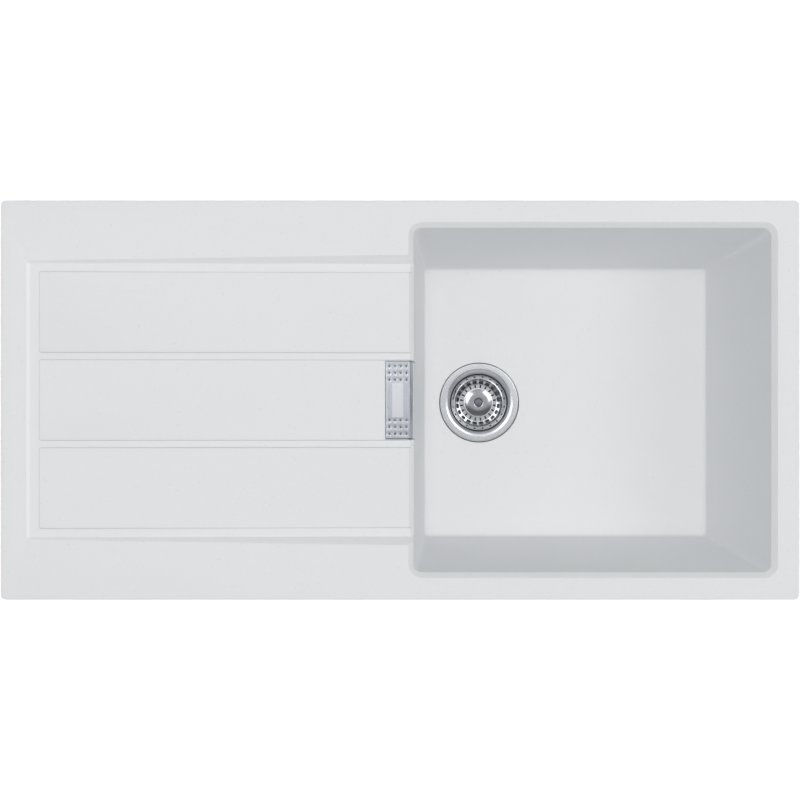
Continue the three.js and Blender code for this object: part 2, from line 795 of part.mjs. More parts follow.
// A small pot under the overflow well with a side spigot for the hose
function overflowElbow() {
  const outer = elbowDiameter / 2;
  const inner = outer - elbowWall;
  const bottom = elbowTop - elbowDepth;
  const spigotEnd = wellX - outer - spigotLength;
  const pot = turned([
    [0, bottom],
    [outer, bottom],
    [outer, elbowTop - elbowFlangeThickness],
    [elbowFlangeDiameter / 2, elbowTop - elbowFlangeThickness],
    [elbowFlangeDiameter / 2, elbowTop],
    [0, elbowTop],
  ], midRound, wellX);
  const spigot = crossCylinder(spigotEnd, wellX, 0, elbowOutletZ, spigotDiameter / 2);
  const hollow = cylinder(wellX, 0, bottom + elbowWall, elbowTop + 1, inner, midRound);
  const passage = crossCylinder(spigotEnd - 1, wellX, 0, elbowOutletZ, spigotBore / 2);
  const half = elbowBridgeWidth / 2;
  const bridge = box(wellX - half, wellX + half, -inner - 1, inner + 1, elbowTop - elbowBridgeHeight, elbowTop);
  const screwHole = cylinder(wellX, 0, elbowTop - elbowBridgeHeight - 1, elbowTop + 1,
    bore(overflowScrewDiameter / 2, boreClearance));
  return cut(cut(pot.add(spigot), [hollow, passage]).add(bridge), [screwHole]);
}

// ---- Overflow hose ----

const hoseStart = new THREE.Vector3(wellX - elbowDiameter / 2 - spigotLength - seatGap, 0, elbowOutletZ);
const inletEndX = wasteX - bodyInnerDiameter / 2 - bodyWall - spigotLength;
const hoseEnd = new THREE.Vector3(inletEndX - seatGap, 0, inletZ);
const hoseBend = (elbowOutletZ - inletZ) / 2;
const hoseBendX = hoseStart.x - hoseCuffLength;

// Point and heading at a distance along the hose: straight, half a turn, straight
function hosePlace(distance) {
  const lead = hoseStart.x - hoseBendX;
  const turn = Math.PI * hoseBend;
  if (distance <= lead) {
    return { at: new THREE.Vector3(hoseStart.x - distance, 0, hoseStart.z), heading: Math.PI };
  }
  if (distance <= lead + turn) {
    const angle = (distance - lead) / hoseBend;
    const x = hoseBendX - hoseBend * Math.sin(angle);
    const z = hoseStart.z - hoseBend * (1 - Math.cos(angle));
    return { at: new THREE.Vector3(x, 0, z), heading: Math.PI + angle };
  }
  return { at: new THREE.Vector3(hoseBendX + distance - lead - turn, 0, hoseEnd.z), heading: 2 * Math.PI };
}

function hoseLength() {
  return hoseCuffLength + Math.PI * hoseBend + hoseEnd.x - hoseBendX;
}

function hoseRing(distance, radius) {
  const { at, heading } = hosePlace(distance);
  const side = new THREE.Vector3(-Math.sin(heading), 0, Math.cos(heading));
  return Array.from({ length: hoseRound }, (_, i) => {
    const angle = ((i + 0.5) / hoseRound) * 2 * Math.PI;
    return at.clone()
      .addScaledVector(side, radius * Math.cos(angle))
      .add(new THREE.Vector3(0, radius * Math.sin(angle), 0));
  });
}

// Outer rings with a collar and a smooth cuff at each end and ribs between them
function hoseOuterRings() {
  const length = hoseLength();
  const collar = hoseCollarDiameter / 2;
  const valley = hoseValleyDiameter / 2;
  const ribs = Math.floor((length - 2 * hoseCuffLength) / ribPitchOnHose);
  const pitch = (length - 2 * hoseCuffLength) / ribs;
  const rings = [
    hoseRing(0, collar),
    hoseRing(hoseCollarThickness, collar),
    hoseRing(hoseCollarThickness, valley),
  ];
  for (let i = 0; i < ribs; i += 1) {
    rings.push(hoseRing(hoseCuffLength + i * pitch, valley));
    rings.push(hoseRing(hoseCuffLength + (i + 0.5) * pitch, hoseDiameter / 2));
  }
  rings.push(hoseRing(length - hoseCuffLength, valley));
  rings.push(hoseRing(length - hoseCollarThickness, valley));
  rings.push(hoseRing(length - hoseCollarThickness, collar));
  rings.push(hoseRing(length, collar));
  return rings;
}

function hoseBoreRings() {
  const length = hoseLength();
  const steps = Math.ceil(length / (5 * ribPitchOnHose));
  return Array.from({ length: steps + 1 }, (_, i) => hoseRing(length * (1 - i / steps), hoseBore / 2));
}

// A tube skin that runs along its outside and back through its bore
function overflowHose() {
  const rings = [...hoseOuterRings(), ...hoseBoreRings()];
  const positions = rings.flat().flatMap((p) => [p.x, p.y, p.z]);
  const index = [];
  rings.forEach((_, level) => {
    const here = level * hoseRound;
    const next = ((level + 1) % rings.length) * hoseRound;
    for (let i = 0; i < hoseRound; i += 1) {
      const j = (i + 1) % hoseRound;
      index.push(here + i, next + i, next + j, here + i, next + j, here + j);
    }
  });
  const skin = new THREE.BufferGeometry();
  skin.setAttribute('position', new THREE.Float32BufferAttribute(positions, 3));
  skin.setIndex(index);
  return solid(skin);
}

// A union nut about Z: its open end takes the spigot, its lip holds the hose's collar
function hoseNut() {
  const outer = nutDiameter / 2;
  const inner = bore(spigotDiameter / 2, seatGap, midRound);
  const lip = bore(hoseDiameter / 2, seatGap, midRound);
  return turned([
    [lip, 0],
    [outer - 1.5, 0],
    [outer, 1.5],
    [outer, nutLength],
    [inner, nutLength],
    [inner, nutLipThickness],
    [lip, nutLipThickness],
    [lip, 0],
  ], midRound);
}

// ---- Waste ----

function wasteFlange() {
  const outer = flangeDiameter / 2;
  const throat = throatDiameter / 2;
  const seat = seatDiameter / 2;
  const hub = hubDiameter / 2;
  const hole = bore(wasteScrewDiameter / 2, boreClearance, bigRound);
  const bend = throat + throatRound;
  const seatZ = flangeTop - seatDepth;
  const coneZ = flangeTop - throatDepth;
  const inside = [[outer, flangeTop - 0.3], [outer - 0.5, flangeTop], [bend, flangeTop]];
  for (let i = 1; i <= filletSteps; i += 1) {
    const angle = (i / filletSteps) * Math.PI / 2;
    inside.push([bend - throatRound * Math.sin(angle), flangeTop - throatRound * (1 - Math.cos(angle))]);
  }
  inside.push([throat, coneZ], [seat, seatZ], [hub, seatZ], [hub - 2, seatZ - hubDish], [hole, seatZ - hubDish]);
  const under = [
    [hole, seatZ - hubDish - sheet],
    [hub - 1.2, seatZ - hubDish - sheet],
    [hub + 0.8, seatZ - sheet],
    [seat + 0.5, seatZ - sheet],
    [throat + sheet, coneZ - 0.4],
    [throat + sheet, flangeTop - throatRound - 0.5],
    [throat + sheet + 1.4, flangeTop - sheet - 1],
    [bend + 0.4, flangeTop - sheet],
    [outer, flangeTop - sheet],
  ];
  const body = turned([...inside, ...under, inside[0]], bigRound, wasteX);
  return cut(body, grateSlots(hub + 1.5, seat - grateRingWidth, seatZ));
}

// Openings in the flange's bottom, between straight bars
function grateSlots(innerRadius, outerRadius, z) {
  const ringCutter = ringBody(innerRadius, outerRadius, z - 3 * sheet, z + 2 * sheet, midRound, wasteX);
  const bars = Array.from({ length: grateSlotCount / 2 }, (_, i) => {
    const bar = new THREE.BoxGeometry(2 * outerRadius + 2, grateBar, 8 * sheet);
    return solid(bar.rotateZ((i / grateSlotCount) * 2 * Math.PI).translate(wasteX, 0, z));
  });
  return [cut(ringCutter, bars)];
}

function flangeGasket() {
  const outer = flangeDiameter / 2 - flangeGasketInset;
  const top = flangeTop - sheet - seatGap;
  return ringBody(outer - flangeGasketWidth, outer, top - flangeGasketThickness, top, midRound, wasteX);
}

function bodyGasket() {
  const inner = bodyInnerDiameter / 2 + bodyGasketInset;
  const outer = bodyFlangeDiameter / 2 - bodyGasketInset;
  const top = padZ - seatGap;
  return ringBody(inner, outer, top - bodyGasketThickness, top, midRound, wasteX);
}

function wasteBody() {
  const inner = bodyInnerDiameter / 2;
  const outer = inner + bodyWall;
  const outletInner = outletBore / 2;
  const outletOuter = outletDiameter / 2;
  const cupZ = wasteBodyTop - bodyDepth;
  const coneZ = cupZ - bodyConeDepth;
  const endZ = coneZ - outletLength;
  const shell = turned([
    [inner, wasteBodyTop],
    [inner, cupZ],
    [outletInner, coneZ],
    [outletInner, endZ],
    [outletOuter, endZ],
    [outletOuter, coneZ + 2],
    [outer, cupZ - 1],
    [outer, wasteBodyTop - bodyFlangeThickness],
    [bodyFlangeDiameter / 2, wasteBodyTop - bodyFlangeThickness],
    [bodyFlangeDiameter / 2, wasteBodyTop],
    [inner, wasteBodyTop],
  ], bigRound, wasteX);
  const spigot = crossCylinder(inletEndX, wasteX - inner - bodyWall / 2, 0, inletZ, spigotDiameter / 2);
  const passage = crossCylinder(inletEndX - 1, wasteX - inner + 3, 0, inletZ, spigotBore / 2);
  const spiderTop = wasteBodyTop - spiderDrop;
  const hub = cylinder(wasteX, 0, spiderTop - spiderHeight, spiderTop, spiderHubDiameter / 2, midRound / 2);
  const arms = Array.from({ length: spiderArmCount }, (_, i) => {
    const reach = inner + bodyWall / 2;
    const arm = new THREE.BoxGeometry(reach, spiderArmWidth, spiderHeight / 2);
    arm.translate(reach / 2, 0, spiderTop - spiderHeight / 4);
    return solid(arm.rotateZ((i / spiderArmCount) * 2 * Math.PI).translate(wasteX, 0, 0));
  });
  const insertHole = cylinder(wasteX, 0, spiderTop - spiderHeight - 1, spiderTop + 1, bore(insertDiameter / 2, seatGap));
  return cut(cut(shell.add(spigot), [passage]).add(union([hub, ...arms])), [insertHole]);
}

const spiderTopZ = wasteBodyTop - spiderDrop;

function wasteInsert() {
  const hole = bore(wasteScrewDiameter / 2, boreClearance);
  const middle = spiderTopZ - spiderHeight / 2;
  return ringBody(hole, insertDiameter / 2, middle - insertLength / 2, middle + insertLength / 2, smallRound, wasteX);
}

const screwSeatZ = flangeTop - seatDepth - hubDish + seatGap;

function wasteScrew() {
  const head = wasteScrewHeadDiameter / 2;
  const shank = wasteScrewDiameter / 2;
  const end = spiderTopZ - spiderHeight;
  const body = turned([
    [0, screwSeatZ + wasteScrewHeadHeight],
    [head - 1, screwSeatZ + wasteScrewHeadHeight],
    [head, screwSeatZ + wasteScrewHeadHeight / 2],
    [head, screwSeatZ],
    [shank, screwSeatZ],
    [shank, end],
    [0, end],
  ], midRound / 2, wasteX);
  const top = screwSeatZ + wasteScrewHeadHeight;
  return body.subtract(box(wasteX - head, wasteX + head, -driverSlotWidth / 2, driverSlotWidth / 2,
    top - driverSlotDepth, top + 1));
}

// ---- Basket strainer ----

const basketRimZ = flangeTop - basketDrop;
const basketShoulderZ = basketRimZ - basketLipHeight;
const basketFloorZ = basketRimZ - basketDepth;
const basketKneeZ = basketFloorZ + basketKneeHeight;

function basketCup() {
  const rim = basketTopDiameter / 2;
  const shoulder = shoulderInnerDiameter / 2;
  const knee = basketKneeDiameter / 2;
  const floor = basketFloorDiameter / 2;
  const hole = bore(postDiameter / 2, boreClearance, strainerHoleCount);
  const lowShoulderZ = basketShoulderZ - shoulderFall;
  const t = basketSheet;
  const sides = strainerHoleCount;
  const body = turned([
    [rim, basketRimZ],
    [rim - t, basketRimZ],
    [rim - t, basketShoulderZ],
    [shoulder, lowShoulderZ],
    [shoulder - 0.8, lowShoulderZ - 1],
    [knee, basketKneeZ],
    [floor, basketFloorZ],
    [hole, basketFloorZ],
    [hole, basketFloorZ - t],
    [floor + 0.2 * t, basketFloorZ - t],
    [knee + 0.95 * t, basketKneeZ - 0.67 * t],
    [shoulder + 0.1, lowShoulderZ - 1.2],
    [shoulder + 0.6, lowShoulderZ - t],
    [rim, basketShoulderZ - t],
    [rim, basketRimZ],
  ], sides, wasteX);
  return cut(body, strainerCutters());
}

// Round holes in the shoulder, windows in the ring below the wall and slots in the floor
function strainerCutters() {
  const ringMiddle = (basketKneeDiameter + basketFloorDiameter) / 4;
  const ringZ = (basketKneeZ + basketFloorZ) / 2;
  const ringRun = (basketKneeDiameter - basketFloorDiameter) / 2;
  const slope = Math.atan2(basketKneeHeight, ringRun);
  const windowLength = windowShare * Math.hypot(ringRun, basketKneeHeight);
  const cutters = [];
  for (let i = 0; i < strainerHoleCount; i += 1) {
    const turn = ((i + 0.5) / strainerHoleCount) * 2 * Math.PI;
    const hole = new THREE.CylinderGeometry(shoulderHoleDiameter / 2, shoulderHoleDiameter / 2, 6, 6);
    hole.rotateX(Math.PI / 2).translate(shoulderHoleCircle / 2, 0, basketShoulderZ - shoulderFall / 2);
    const opening = new THREE.BoxGeometry(windowLength, windowWidth, 5 * basketSheet);
    opening.rotateY(-slope).translate(ringMiddle, 0, ringZ);
    const slot = new THREE.BoxGeometry(slotLength, slotWidth, 6 * basketSheet);
    slot.translate(slotCircle / 2, 0, basketFloorZ);
    for (const cutter of [hole, opening, slot]) {
      cutters.push(solid(cutter.rotateZ(turn).translate(wasteX, 0, 0)));
    }
  }
  return cutters;
}

const capTopZ = basketFloorZ + capHeight;

// The domed cap, a pressing with a recess for the post's head
function basketCap() {
  const edge = capDiameter / 2;
  const recess = bore(postHeadDiameter / 2, seatGap, midRound);
  const recessZ = capTopZ - postHeadHeight - seatGap;
  const hole = bore(postDiameter / 2, boreClearance, midRound);
  const domeZ = (radius) => {
    const t = (radius - capCrownRadius) / (edge - 1 - capCrownRadius);
    return capTopZ - capEdgeDrop * t * t;
  };
  const stations = [0, 0.4, 0.75, 1].map((t) => capCrownRadius + t * (edge - 1 - capCrownRadius));
  const bottom = basketFloorZ + seatGap;
  const top = stations.map((radius) => [radius, domeZ(radius)]);
  const under = stations.slice(0, -1).map((radius) => [radius - 0.3, domeZ(radius) - capSheet]).reverse();
  return turned([
    [hole, recessZ],
    [recess, recessZ],
    [recess, capTopZ],
    ...top,
    [edge, domeZ(edge - 1) - 1.2],
    [edge, bottom],
    [edge - capSheet, bottom],
    [edge - capSheet, domeZ(edge - 1) - 1.6],
    ...under,
    [recess, recessZ - capSheet],
    [hole, recessZ - capSheet],
    [hole, recessZ],
  ], midRound, wasteX);
}

const clipTopZ = basketFloorZ - basketSheet - seatGap;
const clipPlateZ = clipTopZ - clipTop;

// The post that rivets cap, cup and clip together
function basketPost() {
  const recessZ = capTopZ - postHeadHeight - seatGap;
  const head = postHeadDiameter / 2;
  const shank = postDiameter / 2;
  const shoulder = postBodyDiameter / 2;
  const bodyTop = recessZ - capSheet - seatGap;
  const bodyBottom = basketFloorZ + seatGap;
  const rivetTop = clipPlateZ - seatGap;
  return turned([
    [0, recessZ + seatGap + postHeadHeight - 0.4],
    [head - 0.5, recessZ + seatGap + postHeadHeight - 0.4],
    [head, recessZ + postHeadHeight - 0.5],
    [head, recessZ + seatGap],
    [shank, recessZ + seatGap],
    [shank, bodyTop],
    [shoulder, bodyTop],
    [shoulder, bodyBottom],
    [shank, bodyBottom],
    [shank, rivetTop],
    [shoulder, rivetTop],
    [shoulder - 0.6, rivetTop - postRivetHeight],
    [0, rivetTop - postRivetHeight],
  ], midRound / 2, wasteX);
}

function basketSeal() {
  const top = clipTopZ;
  const outer = basketSealDiameter / 2;
  const seat = flangeTop - seatDepth + seatGap;
  const profile = [
    [basketSealBore / 2, top],
    [outer - 3, top],
    [outer, top - 1],
    [outer, seat],
    [outer - 3, seat],
    [outer - 5, top - basketSealThickness],
    [basketSealBore / 2, top - basketSealThickness],
    [basketSealBore / 2, top],
  ];
  return turned(profile, midRound, wasteX);
}

// A collar whose fingers snap over the head of the waste's screw
function basketClip() {
  const outer = clipDiameter / 2;
  const inner = outer - clipWall;
  const hole = bore(postDiameter / 2, boreClearance, midRound);
  const body = turned([
    [hole, clipTopZ],
    [outer, clipTopZ],
    [outer, clipTopZ - clipDepth],
    [inner, clipTopZ - clipDepth],
    [inner, clipPlateZ],
    [hole, clipPlateZ],
    [hole, clipTopZ],
  ], midRound, wasteX);
  const gaps = Array.from({ length: clipFingerCount / 2 }, (_, i) => {
    const slot = new THREE.BoxGeometry(2 * clipDiameter, clipFingerGap, clipDepth);
    slot.translate(0, 0, clipPlateZ - clipDepth / 2 - 0.4);
    return solid(slot.rotateZ((i / clipFingerCount) * 2 * Math.PI).translate(wasteX, 0, 0));
  });
  return cut(body, gaps);
}

// ---- Fixing clips, each made about its own screw's axis ----

const clawBottomZ = -worktopThickest - clawHeight;
const clipWasherZ = clawBottomZ - seatGap - clipWasherThickness;
const clipHeadZ = clipWasherZ - seatGap;

function clipInsert() {
  const bottom = -bossBottom + seatGap;
  const hole = bore(clipScrewDiameter / 2, boreClearance);
  return ringBody(hole, clipInsertDiameter / 2, bottom, bottom + clipInsertLength, smallRound);
}

function clipWasher() {
  const hole = bore(clipScrewDiameter / 2, boreClearance);
  return ringBody(hole, clipWasherDiameter / 2, clipWasherZ, clipWasherZ + clipWasherThickness, smallRound);
}

function clipScrew() {
  const head = clipHeadDiameter / 2;
  const shank = clipScrewDiameter / 2;
  const bottom = clipHeadZ - clipHeadHeight;
  const body = turned([
    [0, bottom],
    [head - 1, bottom],
    [head, bottom + 1],
    [head, clipHeadZ],
    [shank, clipHeadZ],
    [shank, -bossBottom + clipScrewEngagement],
    [0, -bossBottom + clipScrewEngagement],
  ], smallRound);
  return body.subtract(box(-head, head, -driverSlotWidth / 2, driverSlotWidth / 2, bottom - 1, bottom + driverSlotDepth));
}

// A pressed claw with teeth at its far end, pointing along +X
function clipClaw() {
  const top = clawBottomZ + clawHeight;
  const plateTop = clawBottomZ + clawPlate;
  const teeth = [0, 1, 2, 3].map((i) => [clawReach - i * clawToothPitch / 2, i % 2 ? top - 1.4 : top]);
  const profile = [
    [-clawTail, clawBottomZ],
    [clawReach, clawBottomZ],
    ...teeth,
    [clawReach - clawToothPitch * 1.5 - 0.4, plateTop],
    [-clawTail + clawPlate, plateTop],
    [-clawTail + clawPlate, plateTop + clawPlate],
    [-clawTail, plateTop + clawPlate],
  ];
  const hole = cylinder(0, 0, clawBottomZ - 1, plateTop + 1, bore(clipScrewDiameter / 2, boreClearance));
  return pushed(profile, clawWidth).subtract(hole);
}

// ---- Assembly ----

addPiece('sink_moulding', sinkMoulding(), 'composite');
addPiece('rim_seal', rimSeal(), 'foam');

addPiece('overflow_cover', overflowCover(), 'brushedSteel');
addPiece('overflow_rose', overflowRose(), 'polishedSteel');
addPiece('overflow_screw', overflowScrew(), 'zincSteel');
addPiece('overflow_gasket', overflowGasket(), 'rubber');
addPiece('overflow_elbow', overflowElbow(), 'whitePlastic');
addPiece('overflow_hose', overflowHose(), 'greyPlastic');

const nutAtElbow = new THREE.Matrix4().makeRotationY(Math.PI / 2);
nutAtElbow.setPosition(hoseStart.x - hoseCollarThickness - nutLipThickness - seatGap, 0, hoseStart.z);
addPiece('hose_nut_upper', hoseNut(), 'whitePlastic', nutAtElbow);

const nutAtWaste = new THREE.Matrix4().makeRotationY(Math.PI / 2);
nutAtWaste.setPosition(hoseEnd.x - hoseCollarThickness - nutLipThickness - seatGap, 0, hoseEnd.z);
addPiece('hose_nut_lower', hoseNut(), 'whitePlastic', nutAtWaste);

addPiece('waste_flange', wasteFlange(), 'brushedSteel');
addPiece('flange_gasket', flangeGasket(), 'rubber');
addPiece('body_gasket', bodyGasket(), 'rubber');
addPiece('waste_body', wasteBody(), 'whitePlastic');
addPiece('waste_insert', wasteInsert(), 'brass');
addPiece('waste_screw', wasteScrew(), 'polishedSteel');

addPiece('basket_cup', basketCup(), 'polishedSteel');
addPiece('basket_cap', basketCap(), 'polishedSteel');
addPiece('basket_post', basketPost(), 'brushedSteel');
addPiece('basket_seal', basketSeal(), 'rubber');
addPiece('basket_clip', basketClip(), 'whitePlastic');

const clipPieces = [
  ['insert', clipInsert(), 'brass'],
  ['washer', clipWasher(), 'zincSteel'],
  ['screw', clipScrew(), 'zincSteel'],
  ['claw', clipClaw(), 'zincSteel'],
];
clipPlaces.forEach(({ x, y, outward }, i) => {
  const place = new THREE.Matrix4().makeRotationZ(THREE.MathUtils.degToRad(outward - 90));
  place.setPosition(x, y, 0);
  for (const [kind, body, finish] of clipPieces) {
    addPiece(`clip_${i + 1}_${kind}`, body, finish, place);
  }
});

export default sink;
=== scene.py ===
import math
import bmesh
import bpy
from mathutils import Matrix, Vector


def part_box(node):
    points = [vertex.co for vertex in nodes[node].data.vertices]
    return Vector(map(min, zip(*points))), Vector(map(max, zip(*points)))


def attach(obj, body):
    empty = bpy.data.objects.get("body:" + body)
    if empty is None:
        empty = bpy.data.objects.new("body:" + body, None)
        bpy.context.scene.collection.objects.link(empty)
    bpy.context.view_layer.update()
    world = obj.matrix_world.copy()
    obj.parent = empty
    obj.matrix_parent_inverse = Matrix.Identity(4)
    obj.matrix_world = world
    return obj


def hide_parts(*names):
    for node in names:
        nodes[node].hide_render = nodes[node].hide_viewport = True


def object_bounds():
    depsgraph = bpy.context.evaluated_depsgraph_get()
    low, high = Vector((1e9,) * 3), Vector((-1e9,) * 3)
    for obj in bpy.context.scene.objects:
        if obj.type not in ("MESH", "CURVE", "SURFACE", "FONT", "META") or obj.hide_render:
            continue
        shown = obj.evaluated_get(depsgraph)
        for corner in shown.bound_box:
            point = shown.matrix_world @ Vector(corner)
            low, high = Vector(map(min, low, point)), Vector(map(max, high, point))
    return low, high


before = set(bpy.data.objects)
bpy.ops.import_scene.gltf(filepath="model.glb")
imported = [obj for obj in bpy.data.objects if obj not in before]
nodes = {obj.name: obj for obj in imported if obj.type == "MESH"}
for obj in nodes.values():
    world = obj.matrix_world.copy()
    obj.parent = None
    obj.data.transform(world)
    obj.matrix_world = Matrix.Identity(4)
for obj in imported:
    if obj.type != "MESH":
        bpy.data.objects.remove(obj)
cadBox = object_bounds()
scene = bpy.context.scene
scene.view_settings.view_transform = "Standard"
mm = 0.001
print("frame loaded")


def boxOf(node):
    # the low and high corners of a CAD node's box, in mm
    return [Vector(corner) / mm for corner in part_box(node)]


# the camera looks straight down from a little off the outline's centre

cameraPlace = {
    "x": 1.9, "y": -21.2,
    "aboveRim": 1157.0,
    "rimTop": 9.0,
    "focal": 41.65, "sensor": 36.0,
    "shiftX": -0.0019, "shiftY": 0.02125,
    "near": 0.02, "far": 50.0,
}


def addCamera(place):
    lens = bpy.data.cameras.new("camera")
    lens.lens = place["focal"]
    lens.sensor_width = place["sensor"]
    lens.shift_x = place["shiftX"]
    lens.shift_y = place["shiftY"]
    lens.clip_start = place["near"]
    lens.clip_end = place["far"]
    camera = bpy.data.objects.new("camera", lens)
    height = place["rimTop"] + place["aboveRim"]
    camera.location = Vector((place["x"], place["y"], height)) * mm
    scene.collection.objects.link(camera)
    scene.camera = camera


addCamera(cameraPlace)


# helpers for shader and geometry trees

def feed(tree, socket, value):
    if isinstance(value, bpy.types.NodeSocket):
        tree.links.new(value, socket)
    elif value is not None:
        socket.default_value = value


def addNode(tree, kind, feeds=None, **values):
    node = tree.nodes.new(kind)
    for key, value in values.items():
        setattr(node, key, value)
    for key, value in (feeds or {}).items():
        feed(tree, node.inputs[key], value)
    return node


def mathNode(tree, operation, first, second=None):
    return addNode(tree, "ShaderNodeMath", {0: first, 1: second}, operation=operation).outputs[0]


def product(tree, first, *others):
    for other in others:
        first = mathNode(tree, "MULTIPLY", first, other)
    return first


def vectorNode(tree, operation, first, second=None):
    return addNode(tree, "ShaderNodeVectorMath", {0: first, 1: second}, operation=operation).outputs


def mixColor(tree, factor, first, second):
    return addNode(tree, "ShaderNodeMix", {0: factor, 6: first, 7: second}, data_type="RGBA").outputs[2]


def noiseNode(tree, place, scale, detail=2.0, roughness=0.5, dimensions="3D"):
    along = "W" if dimensions == "1D" else "Vector"
    feeds = {along: place, "Scale": scale, "Detail": detail, "Roughness": roughness}
    return addNode(tree, "ShaderNodeTexNoise", feeds, noise_dimensions=dimensions).outputs["Fac"]


def rangeNode(tree, value, low, high, toLow=0.0, toHigh=1.0):
    feeds = dict(enumerate((value, low, high, toLow, toHigh)))
    return addNode(tree, "ShaderNodeMapRange", feeds, clamp=True).outputs[0]


def placeRange(tree, value, low, high, toLow=0.0, toHigh=1.0):
    # the same between two places in mm
    return rangeNode(tree, value, low * mm, high * mm, toLow, toHigh)


def placeBand(tree, value, low, high, soft):
    rise = placeRange(tree, value, low, low + soft)
    return product(tree, rise, placeRange(tree, value, high - soft, high, 1.0, 0.0))


def objectPoint(tree):
    return tree.nodes.new("ShaderNodeTexCoord").outputs["Object"]


def splitPoint(tree, point):
    return addNode(tree, "ShaderNodeSeparateXYZ", {0: point}).outputs


def fromAxis(tree, point, centre):
    # a point seen from an upright axis, and how far from the axis it lies
    away = vectorNode(tree, "SUBTRACT", point, centre)[0]
    flat = vectorNode(tree, "MULTIPLY", away, (1.0, 1.0, 0.0))[0]
    return away, vectorNode(tree, "LENGTH", flat)["Value"]


# effects that several materials share

socketKinds = {1: "NodeSocketFloat", 3: "NodeSocketVector", 4: "NodeSocketColor"}


def makeGroup(name, inputs, outputs):
    tree = bpy.data.node_groups.new(name, "ShaderNodeTree")
    for label, value in inputs.items():
        kind = socketKinds[len(value) if isinstance(value, tuple) else 1]
        tree.interface.new_socket(name=label, in_out="INPUT", socket_type=kind).default_value = value
    for label in outputs:
        kind = socketKinds[4 if label == "Color" else 1]
        tree.interface.new_socket(name=label, in_out="OUTPUT", socket_type=kind)
    return tree, tree.nodes.new("NodeGroupInput").outputs, tree.nodes.new("NodeGroupOutput").inputs


def mineralGrain():
    # pale and dark grains of quartz sand in the resin, and a slow cloudiness
    tree, given, made = makeGroup("mineralGrain", {
        "Base": (0.7, 0.7, 0.7, 1), "Pale": (0.9, 0.9, 0.9, 1), "Dark": (0.3, 0.3, 0.3, 1),
        "Grain scale": 900.0, "Cloud": 0.3, "Cloud scale": 14.0}, ("Color", "Height", "Rough"))
    point = objectPoint(tree)
    fine = noiseNode(tree, point, given["Grain scale"], 3.0, 0.6)
    coarse = noiseNode(tree, point, product(tree, given["Grain scale"], 0.37))
    cloud = noiseNode(tree, point, given["Cloud scale"])
    color = mixColor(tree, rangeNode(tree, fine, 0.58, 0.70, 0.0, 0.55), given["Base"], given["Pale"])
    color = mixColor(tree, rangeNode(tree, coarse, 0.34, 0.24, 0.0, 0.45), color, given["Dark"])
    color = mixColor(tree, rangeNode(tree, cloud, 0.3, 0.7, 0.0, given["Cloud"]), color, given["Pale"])
    feed(tree, made["Color"], color)
    feed(tree, made["Height"], mathNode(tree, "ADD", fine, product(tree, coarse, 0.6)))
    feed(tree, made["Rough"], rangeNode(tree, cloud, 0.25, 0.75, 0.51, 0.60))
    return tree


def brushedGrain():
    # long fine scratches along one direction of a piece
    tree, given, made = makeGroup("brushedGrain", {"Along": (1.0, 1.0, 1.0), "Smudge scale": 55.0},
                                  ("Streak", "Smudge"))
    point = objectPoint(tree)
    stretched = vectorNode(tree, "MULTIPLY", point, given["Along"])[0]
    feed(tree, made["Streak"], noiseNode(tree, stretched, 1.0, 4.0, 0.65))
    feed(tree, made["Smudge"], noiseNode(tree, point, given["Smudge scale"]))
    return tree


def turnedGrain():
    # rings left by turning or polishing round an upright axis
    tree, given, made = makeGroup("turnedGrain", {
        "Centre": (0.0, 0.0, 0.0), "Rings": 4000.0, "Smudge scale": 40.0}, ("Streak", "Smudge"))
    point = objectPoint(tree)
    away, radius = fromAxis(tree, point, given["Centre"])
    reach = mathNode(tree, "ADD", radius, splitPoint(tree, away)["Z"])
    feed(tree, made["Streak"], noiseNode(tree, product(tree, reach, given["Rings"]), 1.0, 3.0, 0.6, "1D"))
    feed(tree, made["Smudge"], noiseNode(tree, point, given["Smudge scale"], 1.0))
    return tree


def mouldedGrain():
    # faint flow marks and fine texture of moulded plastic or rubber
    tree, given, made = makeGroup("mouldedGrain", {"Grain scale": 1500.0, "Flow scale": 30.0},
                                  ("Height", "Flow"))
    point = objectPoint(tree)
    feed(tree, made["Height"], noiseNode(tree, point, given["Grain scale"]))
    feed(tree, made["Flow"], noiseNode(tree, point, given["Flow scale"], 3.0, 0.55))
    return tree


mineral = mineralGrain()
brushed = brushedGrain()
turnedRings = turnedGrain()
moulded = mouldedGrain()


# materials

def startMaterial(name, roughness, metallic=0.0):
    material = bpy.data.materials.new(name)
    material.use_nodes = True
    shader = material.node_tree.nodes["Principled BSDF"].inputs
    shader["Roughness"].default_value = roughness
    shader["Metallic"].default_value = metallic
    return material, material.node_tree, shader


def placeGroup(tree, group, **values):
    feeds = {label.replace("_", " "): value for label, value in values.items()}
    return addNode(tree, "ShaderNodeGroup", feeds, node_tree=group).outputs


def finish(tree, shader, color, rough, height, depth, strength):
    feed(tree, shader["Base Color"], color)
    feed(tree, shader["Roughness"], rough)
    bump = addNode(tree, "ShaderNodeBump", {"Distance": depth, "Strength": strength, "Height": height})
    feed(tree, shader["Normal"], bump.outputs["Normal"])


def linear(red, green, blue):
    def one(value):
        value /= 255.0
        return value / 12.92 if value <= 0.04045 else ((value + 0.055) / 1.055) ** 2.4
    return (one(red), one(green), one(blue), 1.0)


